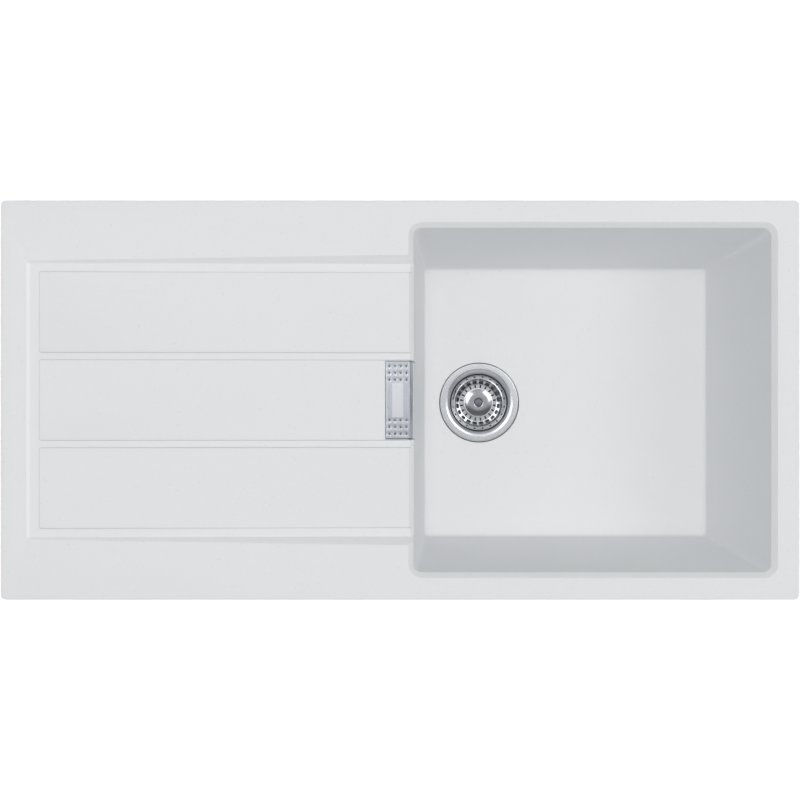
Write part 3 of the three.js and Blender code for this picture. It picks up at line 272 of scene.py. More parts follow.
compositeLook = {"base": (230, 231, 233), "pale": (238, 239, 241), "dark": (207, 209, 212), "grain": 820.0,
                 "cloud": 0.10, "rough": 0.55, "gloss": 0.16, "depth": 0.00006, "strength": 0.5}
# painted shade along the drainer panels' creases
paintedCreaseShade = {"left": -451.2, "right": 16.5, "half": 50.15, "pitch": 110.3, "corner": 2.0, "middle": 0.45,
               "full": 0.35, "fade": 0.5, "fall": 0.01857, "above": -3.2, "soft": 0.5,
               "amount": 0.42, "tone": (172, 176, 180)}
# a painted highlight on the short slope at the drainer's outer end
paintedEndSlopeLight = {"from": -467.5, "to": -463.2, "half": 171.5, "soft": 0.4, "amount": 0.95, "tone": (240, 241, 242)}


def paintedCreaseShadeMask(tree, creaseShade):
    # painted shade along the foot of each panel's edge, where the drainer's creases are darkened
    place = splitPoint(tree, objectPoint(tree))
    pitch, corner = creaseShade["pitch"] * mm, creaseShade["corner"]
    row = mathNode(tree, "ROUND", mathNode(tree, "DIVIDE", place["Y"], pitch))
    row = mathNode(tree, "MAXIMUM", mathNode(tree, "MINIMUM", row, 1.0), -1.0)
    across = mathNode(tree, "SUBTRACT", place["Y"], product(tree, row, pitch))
    side = mathNode(tree, "SUBTRACT", mathNode(tree, "ABSOLUTE", across), (creaseShade["half"] - corner) * mm)
    end = mathNode(tree, "SUBTRACT", (creaseShade["left"] + corner) * mm, place["X"])
    side, end = (mathNode(tree, "POWER", mathNode(tree, "MAXIMUM", part, 0.0), 2.0) for part in (side, end))
    reach = mathNode(tree, "SQRT", mathNode(tree, "ADD", side, end))
    out = mathNode(tree, "ABSOLUTE", mathNode(tree, "SUBTRACT", reach, (corner + creaseShade["middle"]) * mm))
    line = placeRange(tree, out, creaseShade["full"], creaseShade["full"] + creaseShade["fade"], creaseShade["amount"], 0.0)
    # only on the drainer's upper side, and no farther than the bowl
    level = mathNode(tree, "ADD", product(tree, place["X"], creaseShade["fall"]), place["Z"])
    above = placeRange(tree, level, creaseShade["above"] - creaseShade["soft"], creaseShade["above"])
    before = placeRange(tree, place["X"], creaseShade["right"], creaseShade["right"] + creaseShade["soft"], 1.0, 0.0)
    return product(tree, line, above, before)


def paintedEndSlopeLightMask(tree, slope):
    # a painted highlight: the short slope at the drainer's outer end, which faces the light from the right,
    # is painted paler
    place = splitPoint(tree, objectPoint(tree))
    across = mathNode(tree, "ABSOLUTE", place["Y"])
    half, soft = slope["half"], slope["soft"]
    return product(tree, placeBand(tree, place["X"], slope["from"], slope["to"], soft),
                   placeRange(tree, across, half - soft, half, slope["amount"], 0.0))


def compositeMaterial(look, creaseShade, slope):
    material, tree, shader = startMaterial("composite", look["rough"])
    grain = placeGroup(tree, mineral, Base=linear(*look["base"]), Pale=linear(*look["pale"]),
                       Dark=linear(*look["dark"]), Grain_scale=look["grain"], Cloud=look["cloud"])
    # painted shade in the panels' creases
    color = mixColor(tree, paintedCreaseShadeMask(tree, creaseShade), grain["Color"], linear(*creaseShade["tone"]))
    # a painted highlight on the drainer's end slope
    color = mixColor(tree, paintedEndSlopeLightMask(tree, slope), color, linear(*slope["tone"]))
    finish(tree, shader, color, grain["Rough"], grain["Height"], look["depth"], look["strength"])
    shader["Specular IOR Level"].default_value = look["gloss"]
    return material


steelWear = {"smudge": 0.35, "smoother": 0.06, "rougher": 0.08, "strength": 0.4}


def steelMaterial(name, group, tone, darker, roughness, depth, **values):
    material, tree, shader = startMaterial(name, roughness, 1.0)
    grain = placeGroup(tree, group, **values)
    color = mixColor(tree, rangeNode(tree, grain["Streak"], 0.3, 0.7), linear(*darker), linear(*tone))
    smudge = rangeNode(tree, grain["Smudge"], 0.35, 0.7, 0.0, steelWear["smudge"])
    color = mixColor(tree, smudge, color, linear(*darker))
    rough = rangeNode(tree, grain["Streak"], 0.25, 0.75, roughness - steelWear["smoother"],
                      roughness + steelWear["rougher"])
    finish(tree, shader, color, rough, grain["Streak"], depth, steelWear["strength"])
    return material, tree, shader, color


coverLow, coverHigh = boxOf("overflow_cover")
# the bare rectangle and speckle are the cover's own tones; the front and rim tones are painted shade
coverBareAndShade = {
    "left": -10.1, "right": 4.3, "half": 21.7, "soft": 0.5, "amount": 0.85, "tone": (194, 196, 201),
    "speckle": 900.0, "speckleTone": (158, 163, 173),
    "front": 12.2, "frontSoft": 0.8, "frontShadeTone": (172, 176, 184),
    "rim": 1.2, "rimSoft": 0.3, "rimShadeTone": (108, 112, 120), "shadeAmount": 0.9,
}


def coverMaterial(bareAndShade):
    # brushed along the cover, with one smoother, paler rectangle in its middle, and painted shade on its
    # front plate and edges
    material, tree, shader, color = steelMaterial(
        "brushedCoverSteel", brushed, (185, 187, 192), (161, 164, 171), 0.36, 0.00003,
        Along=(1500.0, 260.0, 1500.0))
    place = splitPoint(tree, objectPoint(tree))
    across = mathNode(tree, "ABSOLUTE", place["Y"])
    half, soft, edge = bareAndShade["half"], bareAndShade["soft"], bareAndShade["shadeAmount"]
    inside = product(tree, placeBand(tree, place["X"], bareAndShade["left"], bareAndShade["right"], soft),
                     placeRange(tree, across, half - soft, half, 1.0, 0.0), bareAndShade["amount"])
    speckle = noiseNode(tree, objectPoint(tree), bareAndShade["speckle"], 2.0, 0.6)
    speckle = rangeNode(tree, speckle, 0.42, 0.66, 0.0, 0.5)
    color = mixColor(tree, speckle, color, linear(*bareAndShade["speckleTone"]))
    color = mixColor(tree, inside, color, linear(*bareAndShade["tone"]))
    # painted shade: the front plate, which faces sideways, is painted darker than the top
    front = placeRange(tree, place["X"], bareAndShade["front"], bareAndShade["front"] + bareAndShade["frontSoft"], 0.0, edge)
    color = mixColor(tree, front, color, linear(*bareAndShade["frontShadeTone"]))
    # painted shade: a dark line painted along its edges, for the gap's shadow round it and the dark wall it
    # reflects
    side, end = coverHigh.y - bareAndShade["rim"], coverLow.x + bareAndShade["rim"]
    rim = mathNode(tree, "MAXIMUM",
                   placeRange(tree, across, side, side + bareAndShade["rimSoft"], 0.0, edge),
                   placeRange(tree, place["X"], end - bareAndShade["rimSoft"], end, edge, 0.0))
    feed(tree, shader["Base Color"], mixColor(tree, rim, color, linear(*bareAndShade["rimShadeTone"])))
    return material


flangeLow, flangeHigh = boxOf("waste_flange")
wasteStand = Vector(((flangeLow.x + flangeHigh.x) / 2, 0.0, flangeHigh.z))
wasteCentre = (wasteStand.x * mm, 0.0, 0.0)
# painted shade in the flange's throat, deeper below its top
flangeThroatShade = {"from": 8.5, "full": 13.0, "amount": 0.88, "tone": (58, 60, 64)}
# a painted highlight on the basket cap's brim
paintedBrimHighlight = {"from": 20.0, "full": 20.3, "tone": (226, 228, 231)}


def turnedSteel(name, tone, darker, roughness, depth, rings):
    return steelMaterial(name, turnedRings, tone, darker, roughness, depth, Centre=wasteCentre, Rings=rings)


def flangeMaterial(throatShade):
    # turned on its ring, with painted shade darkening its throat where the basket hides it
    material, tree, shader, color = turnedSteel(
        "turnedFlangeSteel", (206, 208, 211), (182, 185, 189), 0.27, 0.00002, 5200.0)
    place = splitPoint(tree, objectPoint(tree))
    deep = placeRange(tree, place["Z"], wasteStand.z - throatShade["full"], wasteStand.z - throatShade["from"],
                      throatShade["amount"], 0.0)
    feed(tree, shader["Base Color"], mixColor(tree, deep, color, linear(*throatShade["tone"])))
    return material


def capMaterial(shine):
    # the dome's darker tone is a painted dark reflection, and its narrow brim is painted paler, a painted
    # highlight
    material, tree, shader, color = turnedSteel(
        "polishedCapSteel", (164, 166, 170), (142, 144, 149), 0.13, 0.00001, 2200.0)
    radius = fromAxis(tree, objectPoint(tree), wasteCentre)[1]
    brim = placeRange(tree, radius, shine["from"], shine["full"])
    feed(tree, shader["Base Color"], mixColor(tree, brim, color, linear(*shine["tone"])))
    return material


def plasticMaterial(name, tone, worn, roughness, scale, depth):
    material, tree, shader = startMaterial(name, roughness)
    grain = placeGroup(tree, moulded, Grain_scale=scale)
    color = mixColor(tree, rangeNode(tree, grain["Flow"], 0.35, 0.7), linear(*tone), linear(*worn))
    rough = rangeNode(tree, grain["Flow"], 0.3, 0.7, roughness - 0.05, roughness + 0.06)
    finish(tree, shader, color, rough, grain["Height"], depth, 0.5)
    return material


composite = compositeMaterial(compositeLook, paintedCreaseShade, paintedEndSlopeLight)
coverSteel = coverMaterial(coverBareAndShade)
flangeSteel = flangeMaterial(flangeThroatShade)
basketSteel = turnedSteel("pressedBasketSteel", (192, 194, 197), (166, 169, 173), 0.20, 0.00001, 3000.0)[0]
capSteel = capMaterial(paintedBrimHighlight)
postSteel = turnedSteel("dullPostSteel", (112, 114, 118), (98, 100, 104), 0.34, 0.00002, 2600.0)[0]
zincSteel = steelMaterial("zincSteel", brushed, (186, 189, 192), (150, 154, 160), 0.38, 0.00003,
                          Along=(700.0, 900.0, 800.0))[0]
brass = steelMaterial("turnedBrass", brushed, (205, 172, 105), (172, 138, 76), 0.32, 0.00003,
                      Along=(1500.0, 1500.0, 300.0))[0]
whitePlastic = plasticMaterial("whitePlastic", (226, 226, 222), (214, 213, 208), 0.42, 1400.0, 0.00003)
greyPlastic = plasticMaterial("greyPlastic", (150, 153, 156), (138, 141, 145), 0.46, 1200.0, 0.00003)
rubber = plasticMaterial("blackRubber", (34, 35, 37), (46, 46, 48), 0.72, 1800.0, 0.00005)
foam = plasticMaterial("sealFoam", (52, 53, 56), (66, 67, 70), 0.92, 900.0, 0.00025)
print("materials made")


# mesh helpers; sizes in mm until a mesh is written

def linkMesh(name, mesh):
    piece = bpy.data.objects.new(name, mesh)
    scene.collection.objects.link(piece)
    return piece


def meshPiece(name, points, faces):
    mesh = bpy.data.meshes.new(name)
    mesh.from_pydata([Vector(point) * mm for point in points], [], faces)
    return linkMesh(name, mesh)


def editMesh(mesh, change):
    work = bmesh.new()
    work.from_mesh(mesh)
    change(work)
    work.to_mesh(mesh)
    work.free()


def tidyMesh(piece, distance=0.002):
    def change(work):
        bmesh.ops.remove_doubles(work, verts=work.verts, dist=distance * mm)
        bmesh.ops.recalc_face_normals(work, faces=work.faces)
    editMesh(piece.data, change)
    return piece


def smoothByAngle(mesh, degrees):
    mesh.polygons.foreach_set("use_smooth", [True] * len(mesh.polygons))
    mesh.set_sharp_from_angle(angle=math.radians(degrees))


def dress(piece, material, body, slot, *replaced, smooth=32):
    smoothByAngle(piece.data, smooth)
    piece.data.materials.clear()
    piece.data.materials.append(material)
    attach(piece, body)
    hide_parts(*replaced)


def mergedCopy(node, name, distance, flatness):
    mesh = nodes[node].data.copy()
    mesh.materials.clear()

    def change(work):
        bmesh.ops.remove_doubles(work, verts=work.verts, dist=distance * mm)
        bmesh.ops.dissolve_limit(work, angle_limit=math.radians(flatness), verts=work.verts, edges=work.edges)
    editMesh(mesh, change)
    return linkMesh(name, mesh)


def roundEdges(piece, width, segments, degrees):
    bevel = piece.modifiers.new("edges", "BEVEL")
    bevel.width = width * mm
    bevel.segments = segments
    bevel.limit_method = "ANGLE"
    bevel.angle_limit = math.radians(degrees)
    bevel.use_clamp_overlap = True
    bevel.harden_normals = True


def settle(piece):
    # turns a piece and its modifiers into one plain mesh
    graph = bpy.context.evaluated_depsgraph_get()
    made = bpy.data.meshes.new_from_object(piece.evaluated_get(graph))
    piece.modifiers.clear()
    piece.data = made
    return piece


def thicken(piece, thickness):
    shell = piece.modifiers.new("sheet", "SOLIDIFY")
    shell.thickness = thickness * mm
    shell.offset = -1.0
    shell.use_even_offset = True
    shell.thickness_clamp = 0.9
    return settle(piece)


def foldedSheet(piece, gap, thickness, surface=None):
    # merges cells of sheet, bends them over a surface where one is given, and thickens them
    def change(work):
        bmesh.ops.remove_doubles(work, verts=work.verts, dist=gap * mm)
        for vert in work.verts if surface else ():
            vert.co = Vector(surface(*(part / mm for part in vert.co))) * mm
        bmesh.ops.recalc_face_normals(work, faces=work.faces)
        if sum(face.normal.z * face.calc_area() for face in work.faces) < 0:
            bmesh.ops.reverse_faces(work, faces=work.faces)
    editMesh(piece.data, change)
    return thicken(piece, thickness)


def joinPieces(name, parts):
    work = bmesh.new()
    for part in parts:
        work.from_mesh(part.data)
        bpy.data.objects.remove(part)
    mesh = bpy.data.meshes.new(name)
    work.to_mesh(mesh)
    work.free()
    return linkMesh(name, mesh)


def carve(piece, *cutters):
    for cutter in cutters:
        cut = piece.modifiers.new("cut", "BOOLEAN")
        cut.operation = "DIFFERENCE"
        cut.solver = "EXACT"
        cut.object = cutter
        settle(piece)
        bpy.data.objects.remove(cutter)
    return piece


def placed(piece, place):
    piece.data.transform(place)
    return piece


def shift(x, y, z):
    return Matrix.Translation(Vector((x, y, z)) * mm)


def atWaste(piece):
    return placed(piece, shift(*wasteStand))


def roundedOutline(outline, closed, steps=4):
    # a corner may give a third number, how far back from it its rounding starts
    made = []
    last = len(outline) - 1
    for index, point in enumerate(outline):
        corner = Vector(point[:2])
        size = point[2] if len(point) > 2 else 0.0
        if size == 0.0 or (not closed and index in (0, last)):
            made.append(corner)
            continue
        before = Vector(outline[index - 1][:2]) - corner
        after = Vector(outline[(index + 1) % len(outline)][:2]) - corner
        start = corner + before.normalized() * min(size, before.length * 0.48)
        end = corner + after.normalized() * min(size, after.length * 0.48)
        for step in range(steps + 1):
            t = step / steps
            made.append(start * (1 - t) ** 2 + corner * (2 * t * (1 - t)) + end * t ** 2)
    return made


def ringFaces(rings, sides, closed):
    # quads between rings of points
    faces = []
    for ring in range(rings if closed else rings - 1):
        here, there = ring * sides, (ring + 1) % rings * sides
        for side in range(sides):
            beside = (side + 1) % sides
            faces.append((here + side, here + beside, there + beside, there + side))
    return faces


def turnedPiece(name, outline, sides, stand=(0, 0, 0), closed=True, steps=4):
    # an outline of radius and height, turned round an upright axis
    profile = roundedOutline(outline, closed, steps)
    points = []
    for spot in profile:
        for side in range(sides):
            angle = side / sides * math.tau
            points.append((stand[0] + spot[0] * math.cos(angle), stand[1] + spot[0] * math.sin(angle),
                           stand[2] + spot[1]))
    return tidyMesh(meshPiece(name, points, ringFaces(len(profile), sides, closed)))


def ringPiece(name, inner, outer, start, end, rounding, sides):
    spots = ((inner, start), (outer, start), (outer, end), (inner, end))
    return turnedPiece(name, [(*spot, size) for spot, size in zip(spots, rounding)], sides)


axisOrder = {"x": lambda a, b, c: (c, a, b), "y": lambda a, b, c: (a, c, b), "z": lambda a, b, c: (a, b, c)}


def pushedPiece(name, outline, low, high, axis="y"):
    # a closed outline pushed between two places along an axis
    profile = roundedOutline(outline, True)
    count = len(profile)
    points = [axisOrder[axis](spot[0], spot[1], place) for place in (low, high) for spot in profile]
    faces = [tuple(range(count)), tuple(range(count, 2 * count))] + ringFaces(2, count, False)
    return tidyMesh(meshPiece(name, points, faces))


def blockPiece(name, x0, x1, y0, y1, z0, z1):
    return pushedPiece(name, [(x0, z0), (x1, z0), (x1, z1), (x0, z1)], y0, y1)


def rodPiece(name, radius, low, high, sides=32):
    return turnedPiece(name, [(0, low), (radius, low), (radius, high), (0, high)], sides, closed=False)


sideways = Matrix.Rotation(math.pi / 2, 4, "Y")      # turns an upright piece to lie along x


# geometry trees

def makeTree(name, counts, sizes):
    tree = bpy.data.node_groups.new(name, "GeometryNodeTree")
    tree.is_modifier = True
    labels = [("Geometry", "Geometry")] + [(label, "Int") for label in counts]
    for label, kind in labels + [(label, "Float") for label in sizes] + [("Material", "Material")]:
        tree.interface.new_socket(name=label, in_out="INPUT", socket_type="NodeSocket" + kind)
    tree.interface.new_socket(name="Geometry", in_out="OUTPUT", socket_type="NodeSocketGeometry")
    return tree, tree.nodes.new("NodeGroupInput").outputs


def closeTree(tree, given, geometry):
    realize = addNode(tree, "GeometryNodeRealizeInstances", {0: geometry})
    paint = addNode(tree, "GeometryNodeSetMaterial",
                    {"Geometry": realize.outputs[0], "Material": given["Material"]})
    addNode(tree, "NodeGroupOutput", {0: paint.outputs[0]})
    return tree


def movedNode(tree, geometry, **parts):
    place = addNode(tree, "ShaderNodeCombineXYZ", parts)
    feeds = {"Geometry": geometry, "Translation": place.outputs[0]}
    return addNode(tree, "GeometryNodeTransform", feeds).outputs[0]


def copiesRound():
    # copies of a piece at equal turns round the upright axis
    tree, given = makeTree("copiesRound", ["Copies"], ["First turn"])
    stands = addNode(tree, "GeometryNodeMeshLine", {"Offset": (0, 0, 0), "Count": given["Copies"]})
    share = mathNode(tree, "DIVIDE", tree.nodes.new("GeometryNodeInputIndex").outputs[0], given["Copies"])
    angle = mathNode(tree, "ADD", product(tree, share, math.tau), given["First turn"])
    turn = addNode(tree, "ShaderNodeCombineXYZ", {"Z": angle})
    copies = addNode(tree, "GeometryNodeInstanceOnPoints", {
        "Points": stands.outputs[0], "Instance": given["Geometry"], "Rotation": turn.outputs[0]})
    return closeTree(tree, given, copies.outputs[0])


def holedFields():
    # one holed cell of sheet repeated in columns and rows, at both ends of a span
    tree, given = makeTree("holedFields", ["Columns", "Rows"],
                           ["Column pitch", "Row pitch", "Field x", "Field y"])
    grid = addNode(tree, "GeometryNodeMeshGrid")
    for label, count, pitch in (("X", "Columns", "Column pitch"), ("Y", "Rows", "Row pitch")):
        steps = mathNode(tree, "SUBTRACT", given[count], 1.0)
        feed(tree, grid.inputs["Size " + label], product(tree, steps, given[pitch]))
        feed(tree, grid.inputs["Vertices " + label], given[count])
    both = addNode(tree, "GeometryNodeJoinGeometry")
    for side in (1.0, -1.0):
        field = movedNode(tree, grid.outputs["Mesh"], X=given["Field x"],
                          Y=product(tree, given["Field y"], side))
        feed(tree, both.inputs[0], field)
    copies = addNode(tree, "GeometryNodeInstanceOnPoints",
                     {"Points": both.outputs[0], "Instance": given["Geometry"]})
    return closeTree(tree, given, copies.outputs[0])


def screwThread():
    # a helical ridge of diamond section, which stands half out of the core that it is given
    tree, given = makeTree("screwThread", ["Steps"], ["Turns", "Pitch", "Core radius", "Ridge", "Start"])
    helix = addNode(tree, "GeometryNodeCurveSpiral", {
        "Resolution": given["Steps"], "Rotations": given["Turns"], "Start Radius": given["Core radius"],
        "End Radius": given["Core radius"], "Height": product(tree, given["Turns"], given["Pitch"])})
    section = addNode(tree, "GeometryNodeCurvePrimitiveCircle", {"Resolution": 4, "Radius": given["Ridge"]},
                      mode="RADIUS")
    ridge = addNode(tree, "GeometryNodeCurveToMesh", {
        "Fill Caps": True, "Curve": helix.outputs[0], "Profile Curve": section.outputs[0]})
    both = addNode(tree, "GeometryNodeJoinGeometry", {0: movedNode(tree, ridge.outputs[0], Z=given["Start"])})
    feed(tree, both.inputs[0], given["Geometry"])
    return closeTree(tree, given, both.outputs[0])


def ribbedTube():
    # a tube along a route, smooth at its two cuffs and ribbed between them
    tree, given = makeTree("ribbedTube", ["Sides"], ["Length", "Cuff", "Ribs", "Valley radius", "Rib radius"])
    route = addNode(tree, "GeometryNodeMeshToCurve", {0: given["Geometry"]})
    along = tree.nodes.new("GeometryNodeSplineParameter").outputs["Length"]
    local = mathNode(tree, "SUBTRACT", along, given["Cuff"])
    ribbed = mathNode(tree, "SUBTRACT", given["Length"], product(tree, given["Cuff"], 2.0))
    phase = product(tree, mathNode(tree, "DIVIDE", local, ribbed), given["Ribs"])
    wave = mathNode(tree, "COSINE", product(tree, phase, math.tau))
    between = product(tree, mathNode(tree, "GREATER_THAN", local, 0.0),
                      mathNode(tree, "LESS_THAN", local, ribbed))
    swell = product(tree, rangeNode(tree, wave, 0.75, -0.75), between)
    rise = mathNode(tree, "SUBTRACT", given["Rib radius"], given["Valley radius"])
    radius = mathNode(tree, "ADD", given["Valley radius"], product(tree, swell, rise))
    ring = addNode(tree, "GeometryNodeCurvePrimitiveCircle", {"Radius": 1.0, "Resolution": given["Sides"]},
                   mode="RADIUS")
    skin = addNode(tree, "GeometryNodeCurveToMesh", {
        "Curve": route.outputs[0], "Profile Curve": ring.outputs[0], "Scale": radius})
    return closeTree(tree, given, skin.outputs[0])


roundTree = copiesRound()
holedTree = holedFields()
threadTree = screwThread()
tubeTree = ribbedTube()


def grow(piece, tree, material, **values):
    # runs a tree on a piece and keeps the result as a plain mesh
    modifier = piece.modifiers.new(tree.name, "NODES")
    modifier.node_group = tree
    given = {label.replace("_", " "): value for label, value in values.items()}
    given["Material"] = material
    for item in tree.interface.items_tree:
        if item.item_type == "SOCKET" and item.in_out == "INPUT" and item.name in given:
            modifier[item.identifier] = given[item.name]
    return settle(piece)


def threaded(piece, material, low, high, outerRadius, pitch, steps=16):
    ridge = pitch / 2
    turns = (high - low) / pitch
    return grow(piece, threadTree, material, Turns=turns, Pitch=pitch * mm,
                Core_radius=(outerRadius - ridge) * mm,
                Ridge=ridge * mm, Steps=steps, Start=low * mm)


# the moulding

mouldingLook = {"merge": 0.01, "flatness": 0.4, "edge": 0.5, "segments": 2, "sharper": 27, "smooth": 30}

moulding = mergedCopy("sink_moulding", "mouldedSink", mouldingLook["merge"], mouldingLook["flatness"])
dress(moulding, composite, "sink", "composite", "sink_moulding", smooth=mouldingLook["smooth"])
roundEdges(moulding, mouldingLook["edge"], mouldingLook["segments"], mouldingLook["sharper"])
print("moulding made")


# a cell of sheet with a hole, whose border meets the grid round it

def holedCell(place, x0, x1, y0, y1, columns, rows, hole, roundness, lip=0.0):
    # place turns a spot of the flat cell into a point; hole gives its middle and half sizes
    border = [(x0 + (x1 - x0) * i / columns, y0) for i in range(columns)]
    border += [(x1, y0 + (y1 - y0) * i / rows) for i in range(rows)]
    border += [(x1 - (x1 - x0) * i / columns, y1) for i in range(columns)]
    border += [(x0, y1 - (y1 - y0) * i / rows) for i in range(rows)]
    middleX, middleY, halfX, halfY = hole
    points = []
    for grown in (None, lip, 0.0) if lip else (None, 0.0):
        for x, y in border:
            if grown is None:
                points.append(place(x, y, 0.0))
                continue
            awayX, awayY = (x - middleX) / (halfX + grown), (y - middleY) / (halfY + grown)
            reach = (abs(awayX) ** roundness + abs(awayY) ** roundness) ** (1 / roundness)
            sunk = -0.25 * lip if lip and not grown else 0.0
            points.append(place(middleX + (x - middleX) / reach, middleY + (y - middleY) / reach, sunk))
    return points, ringFaces(len(points) // len(border), len(border), False)


def addPatch(points, faces, patch):
    start = len(points)
    points.extend(patch[0])
    faces.extend(tuple(start + corner for corner in face) for face in patch[1])


# the overflow cover: a flat sheet with two holed fields, bent down at its front

coverLook = {
    "left": coverLow.x, "flat": 31.4, "drop": 26.5, "lean": 3.6, "halfSpan": coverHigh.y,
    "sheet": 1.0, "bend": 2.0, "bendSteps": 6, "slope": 0.01879,
    "columns": 4, "rows": 3, "columnPitch": 7.2, "rowPitch": 8.6, "cellSteps": 4,
    "fromLeft": 4.9, "fromEnd": 6.6, "holeRadius": 1.1, "holeLip": 0.3,
    "legWidth": 8.0, "legDrop": 12.0, "legInset": 2.8, "legSunk": 0.4, "middleSteps": 10,
    "roll": 0.3, "rollWidth": 0.6, "sunk": 0.05, "merge": 0.02, "edge": 0.22, "sharper": 50,
}


def overflowCoverPiece(look):
    bendX = look["left"] + look["flat"]
    arcX = bendX - look["bend"]
    lean = math.atan2(look["lean"], look["drop"])
    turn = math.pi / 2 - lean
    arcLength = look["bend"] * turn
    top = coverHigh.z - look["sunk"]

    def surface(u, y, rise):
        # u runs along the sheet from its left edge, over the bend and down the front
        # the edges roll down a little
        x = look["left"] + u
        for near in (u, look["halfSpan"] - abs(y)):
            rise -= look["roll"] * max(1.0 - near / look["rollWidth"], 0.0) ** 2
        if x <= arcX:
            return (x, y, top - look["slope"] * u + rise)
        arcTop = top - look["slope"] * (arcX - look["left"])
        past = x - arcX
        angle = min(past / look["bend"], turn)
        rest = max(past - arcLength, 0.0)
        radius = look["bend"] + rise
        return (arcX + radius * math.sin(angle) + rest * math.sin(lean), y,
                arcTop - look["bend"] + radius * math.cos(angle) - rest * math.cos(lean))

    # the bend starts where the last cell ends
    cellLeft = arcX - look["left"] - look["columns"] * look["columnPitch"]
    columnStep = look["columnPitch"] / look["cellSteps"]
    rowStep = look["rowPitch"] / look["cellSteps"]
    rollLines = [look["rollWidth"] * share for share in (0.3, 0.6, 1.0)]
    uLines = [0.0, rollLines[0]]
    uLines += [cellLeft + columnStep * i for i in range(look["columns"] * look["cellSteps"] + 1)]
    flatEnd = uLines[-1]
    uLines += [flatEnd + arcLength * i / look["bendSteps"] for i in range(1, look["bendSteps"] + 1)]
    frontEnd = flatEnd + arcLength + (look["drop"] - look["bend"]) / math.cos(lean)
    uLines += [flatEnd + arcLength + (frontEnd - flatEnd - arcLength) * i / 3 for i in (1, 2, 3)]
    fieldMiddle = look["halfSpan"] - look["fromEnd"] - look["rowPitch"]
    fieldOuter = fieldMiddle + 1.5 * look["rowPitch"]
    fieldInner = fieldMiddle - 1.5 * look["rowPitch"]
    outerLines = [fieldOuter - rowStep * i for i in range(look["rows"] * look["cellSteps"] + 1)]
    middle = [fieldInner - 2 * fieldInner * i / look["middleSteps"] for i in range(1, look["middleSteps"])]
    endLines = [look["halfSpan"]] + [look["halfSpan"] - line for line in rollLines] + outerLines
    yLines = endLines + middle + [-y for y in reversed(endLines)]
    points = [(u, y, 0.0) for u in uLines for y in yLines]
    faces = []
    for i in range(len(uLines) - 1):
        for j in range(len(yLines) - 1):
            u, y = (uLines[i] + uLines[i + 1]) / 2, (yLines[j] + yLines[j + 1]) / 2
            if cellLeft < u < flatEnd and fieldInner < abs(y) < fieldOuter:
                continue
            corner = i * len(yLines) + j
            faces.append((corner, corner + len(yLines), corner + len(yLines) + 1, corner + 1))
    plain = meshPiece("coverSheet", points, faces)
    fieldX = cellLeft + look["columns"] * look["columnPitch"] / 2
    holeAside = look["fromLeft"] - cellLeft - look["columnPitch"] / 2
    halfX, halfY = look["columnPitch"] / 2, look["rowPitch"] / 2
    cell = meshPiece("coverCell", *holedCell(
        lambda x, y, rise: (x, y, rise), -halfX, halfX, -halfY, halfY, look["cellSteps"], look["cellSteps"],
        (holeAside, 0.0, look["holeRadius"], look["holeRadius"]), 2.0, look["holeLip"]))
    grow(cell, holedTree, coverSteel, Columns=look["columns"], Rows=look["rows"],
         Column_pitch=look["columnPitch"] * mm, Row_pitch=look["rowPitch"] * mm,
         Field_x=fieldX * mm, Field_y=fieldMiddle * mm)
    cover = foldedSheet(joinPieces("overflowCover", [plain, cell]), look["merge"], look["sheet"], surface)
    legX, half = look["left"] + look["flat"] / 2, look["legWidth"] / 2
    legTop = top - look["slope"] * look["flat"] / 2 - look["legSunk"]
    foot = legTop - look["legDrop"]
    outline = [(legX - half, legTop), (legX + half, legTop), (legX + half, foot, 2.0),
               (legX - half, foot, 2.0)]
    legs = []
    for side in (-1, 1):
        outer = side * (look["halfSpan"] - look["legInset"])
        legs.append(pushedPiece("coverLeg", outline, *sorted((outer, outer - side * look["sheet"]))))
    return joinPieces("overflowCover", [cover] + legs)


cover = overflowCoverPiece(coverLook)
dress(cover, coverSteel, "overflow_cover", "brushed_steel_trim", "overflow_cover")
roundEdges(cover, coverLook["edge"], 2, coverLook["sharper"])
print("cover made")


# the waste's flange, its seat and grate

flangeLook = {"slots": 6, "bar": 6.0, "slotInner": 13.5, "slotOuter": 29.0,
              "slotLow": -29.5, "slotHigh": -24.5,
              "slotSteps": 10, "sides": 128, "steps": 8}


def slotCutter(look):
    # the room between two straight bars
    half, steps = math.pi / look["slots"], look["slotSteps"]
    spots = []
    for radius, order in ((look["slotInner"], 1), (look["slotOuter"], -1)):
        reach = half - math.asin(look["bar"] / 2 / radius)
        for i in range(steps + 1):
            angle = order * (2 * i / steps - 1) * reach + half
            spots.append((radius * math.cos(angle), radius * math.sin(angle)))
    return pushedPiece("slotCutter", spots, look["slotLow"], look["slotHigh"], "z")


flange = turnedPiece("wasteFlange", [
    (57.6, -1.0, 0.1), (57.6, -0.45, 0.25), (57.0, -0.05, 0.5), (54.0, 0.0), (48.9, 0.0, 1.2),
    (46.0, -0.9, 1.0), (42.3, -3.9, 1.0), (42.3, -19.0, 1.6), (33.0, -26.5, 1.4), (12.0, -26.5, 1.0),
    (10.0, -31.0, 0.8), (3.4, -31.0),
    (3.4, -32.0), (10.8, -32.0, 0.8), (12.8, -27.5, 1.0), (33.5, -27.5, 1.4), (43.3, -19.4, 1.6),
    (43.3, -4.6, 1.0), (46.4, -1.9, 1.0), (49.3, -1.0, 1.2),
], flangeLook["sides"], steps=flangeLook["steps"])
carve(flange, grow(slotCutter(flangeLook), roundTree, flangeSteel, Copies=flangeLook["slots"]))
dress(atWaste(flange), flangeSteel, "sink", "brushed_steel_trim", "waste_flange")


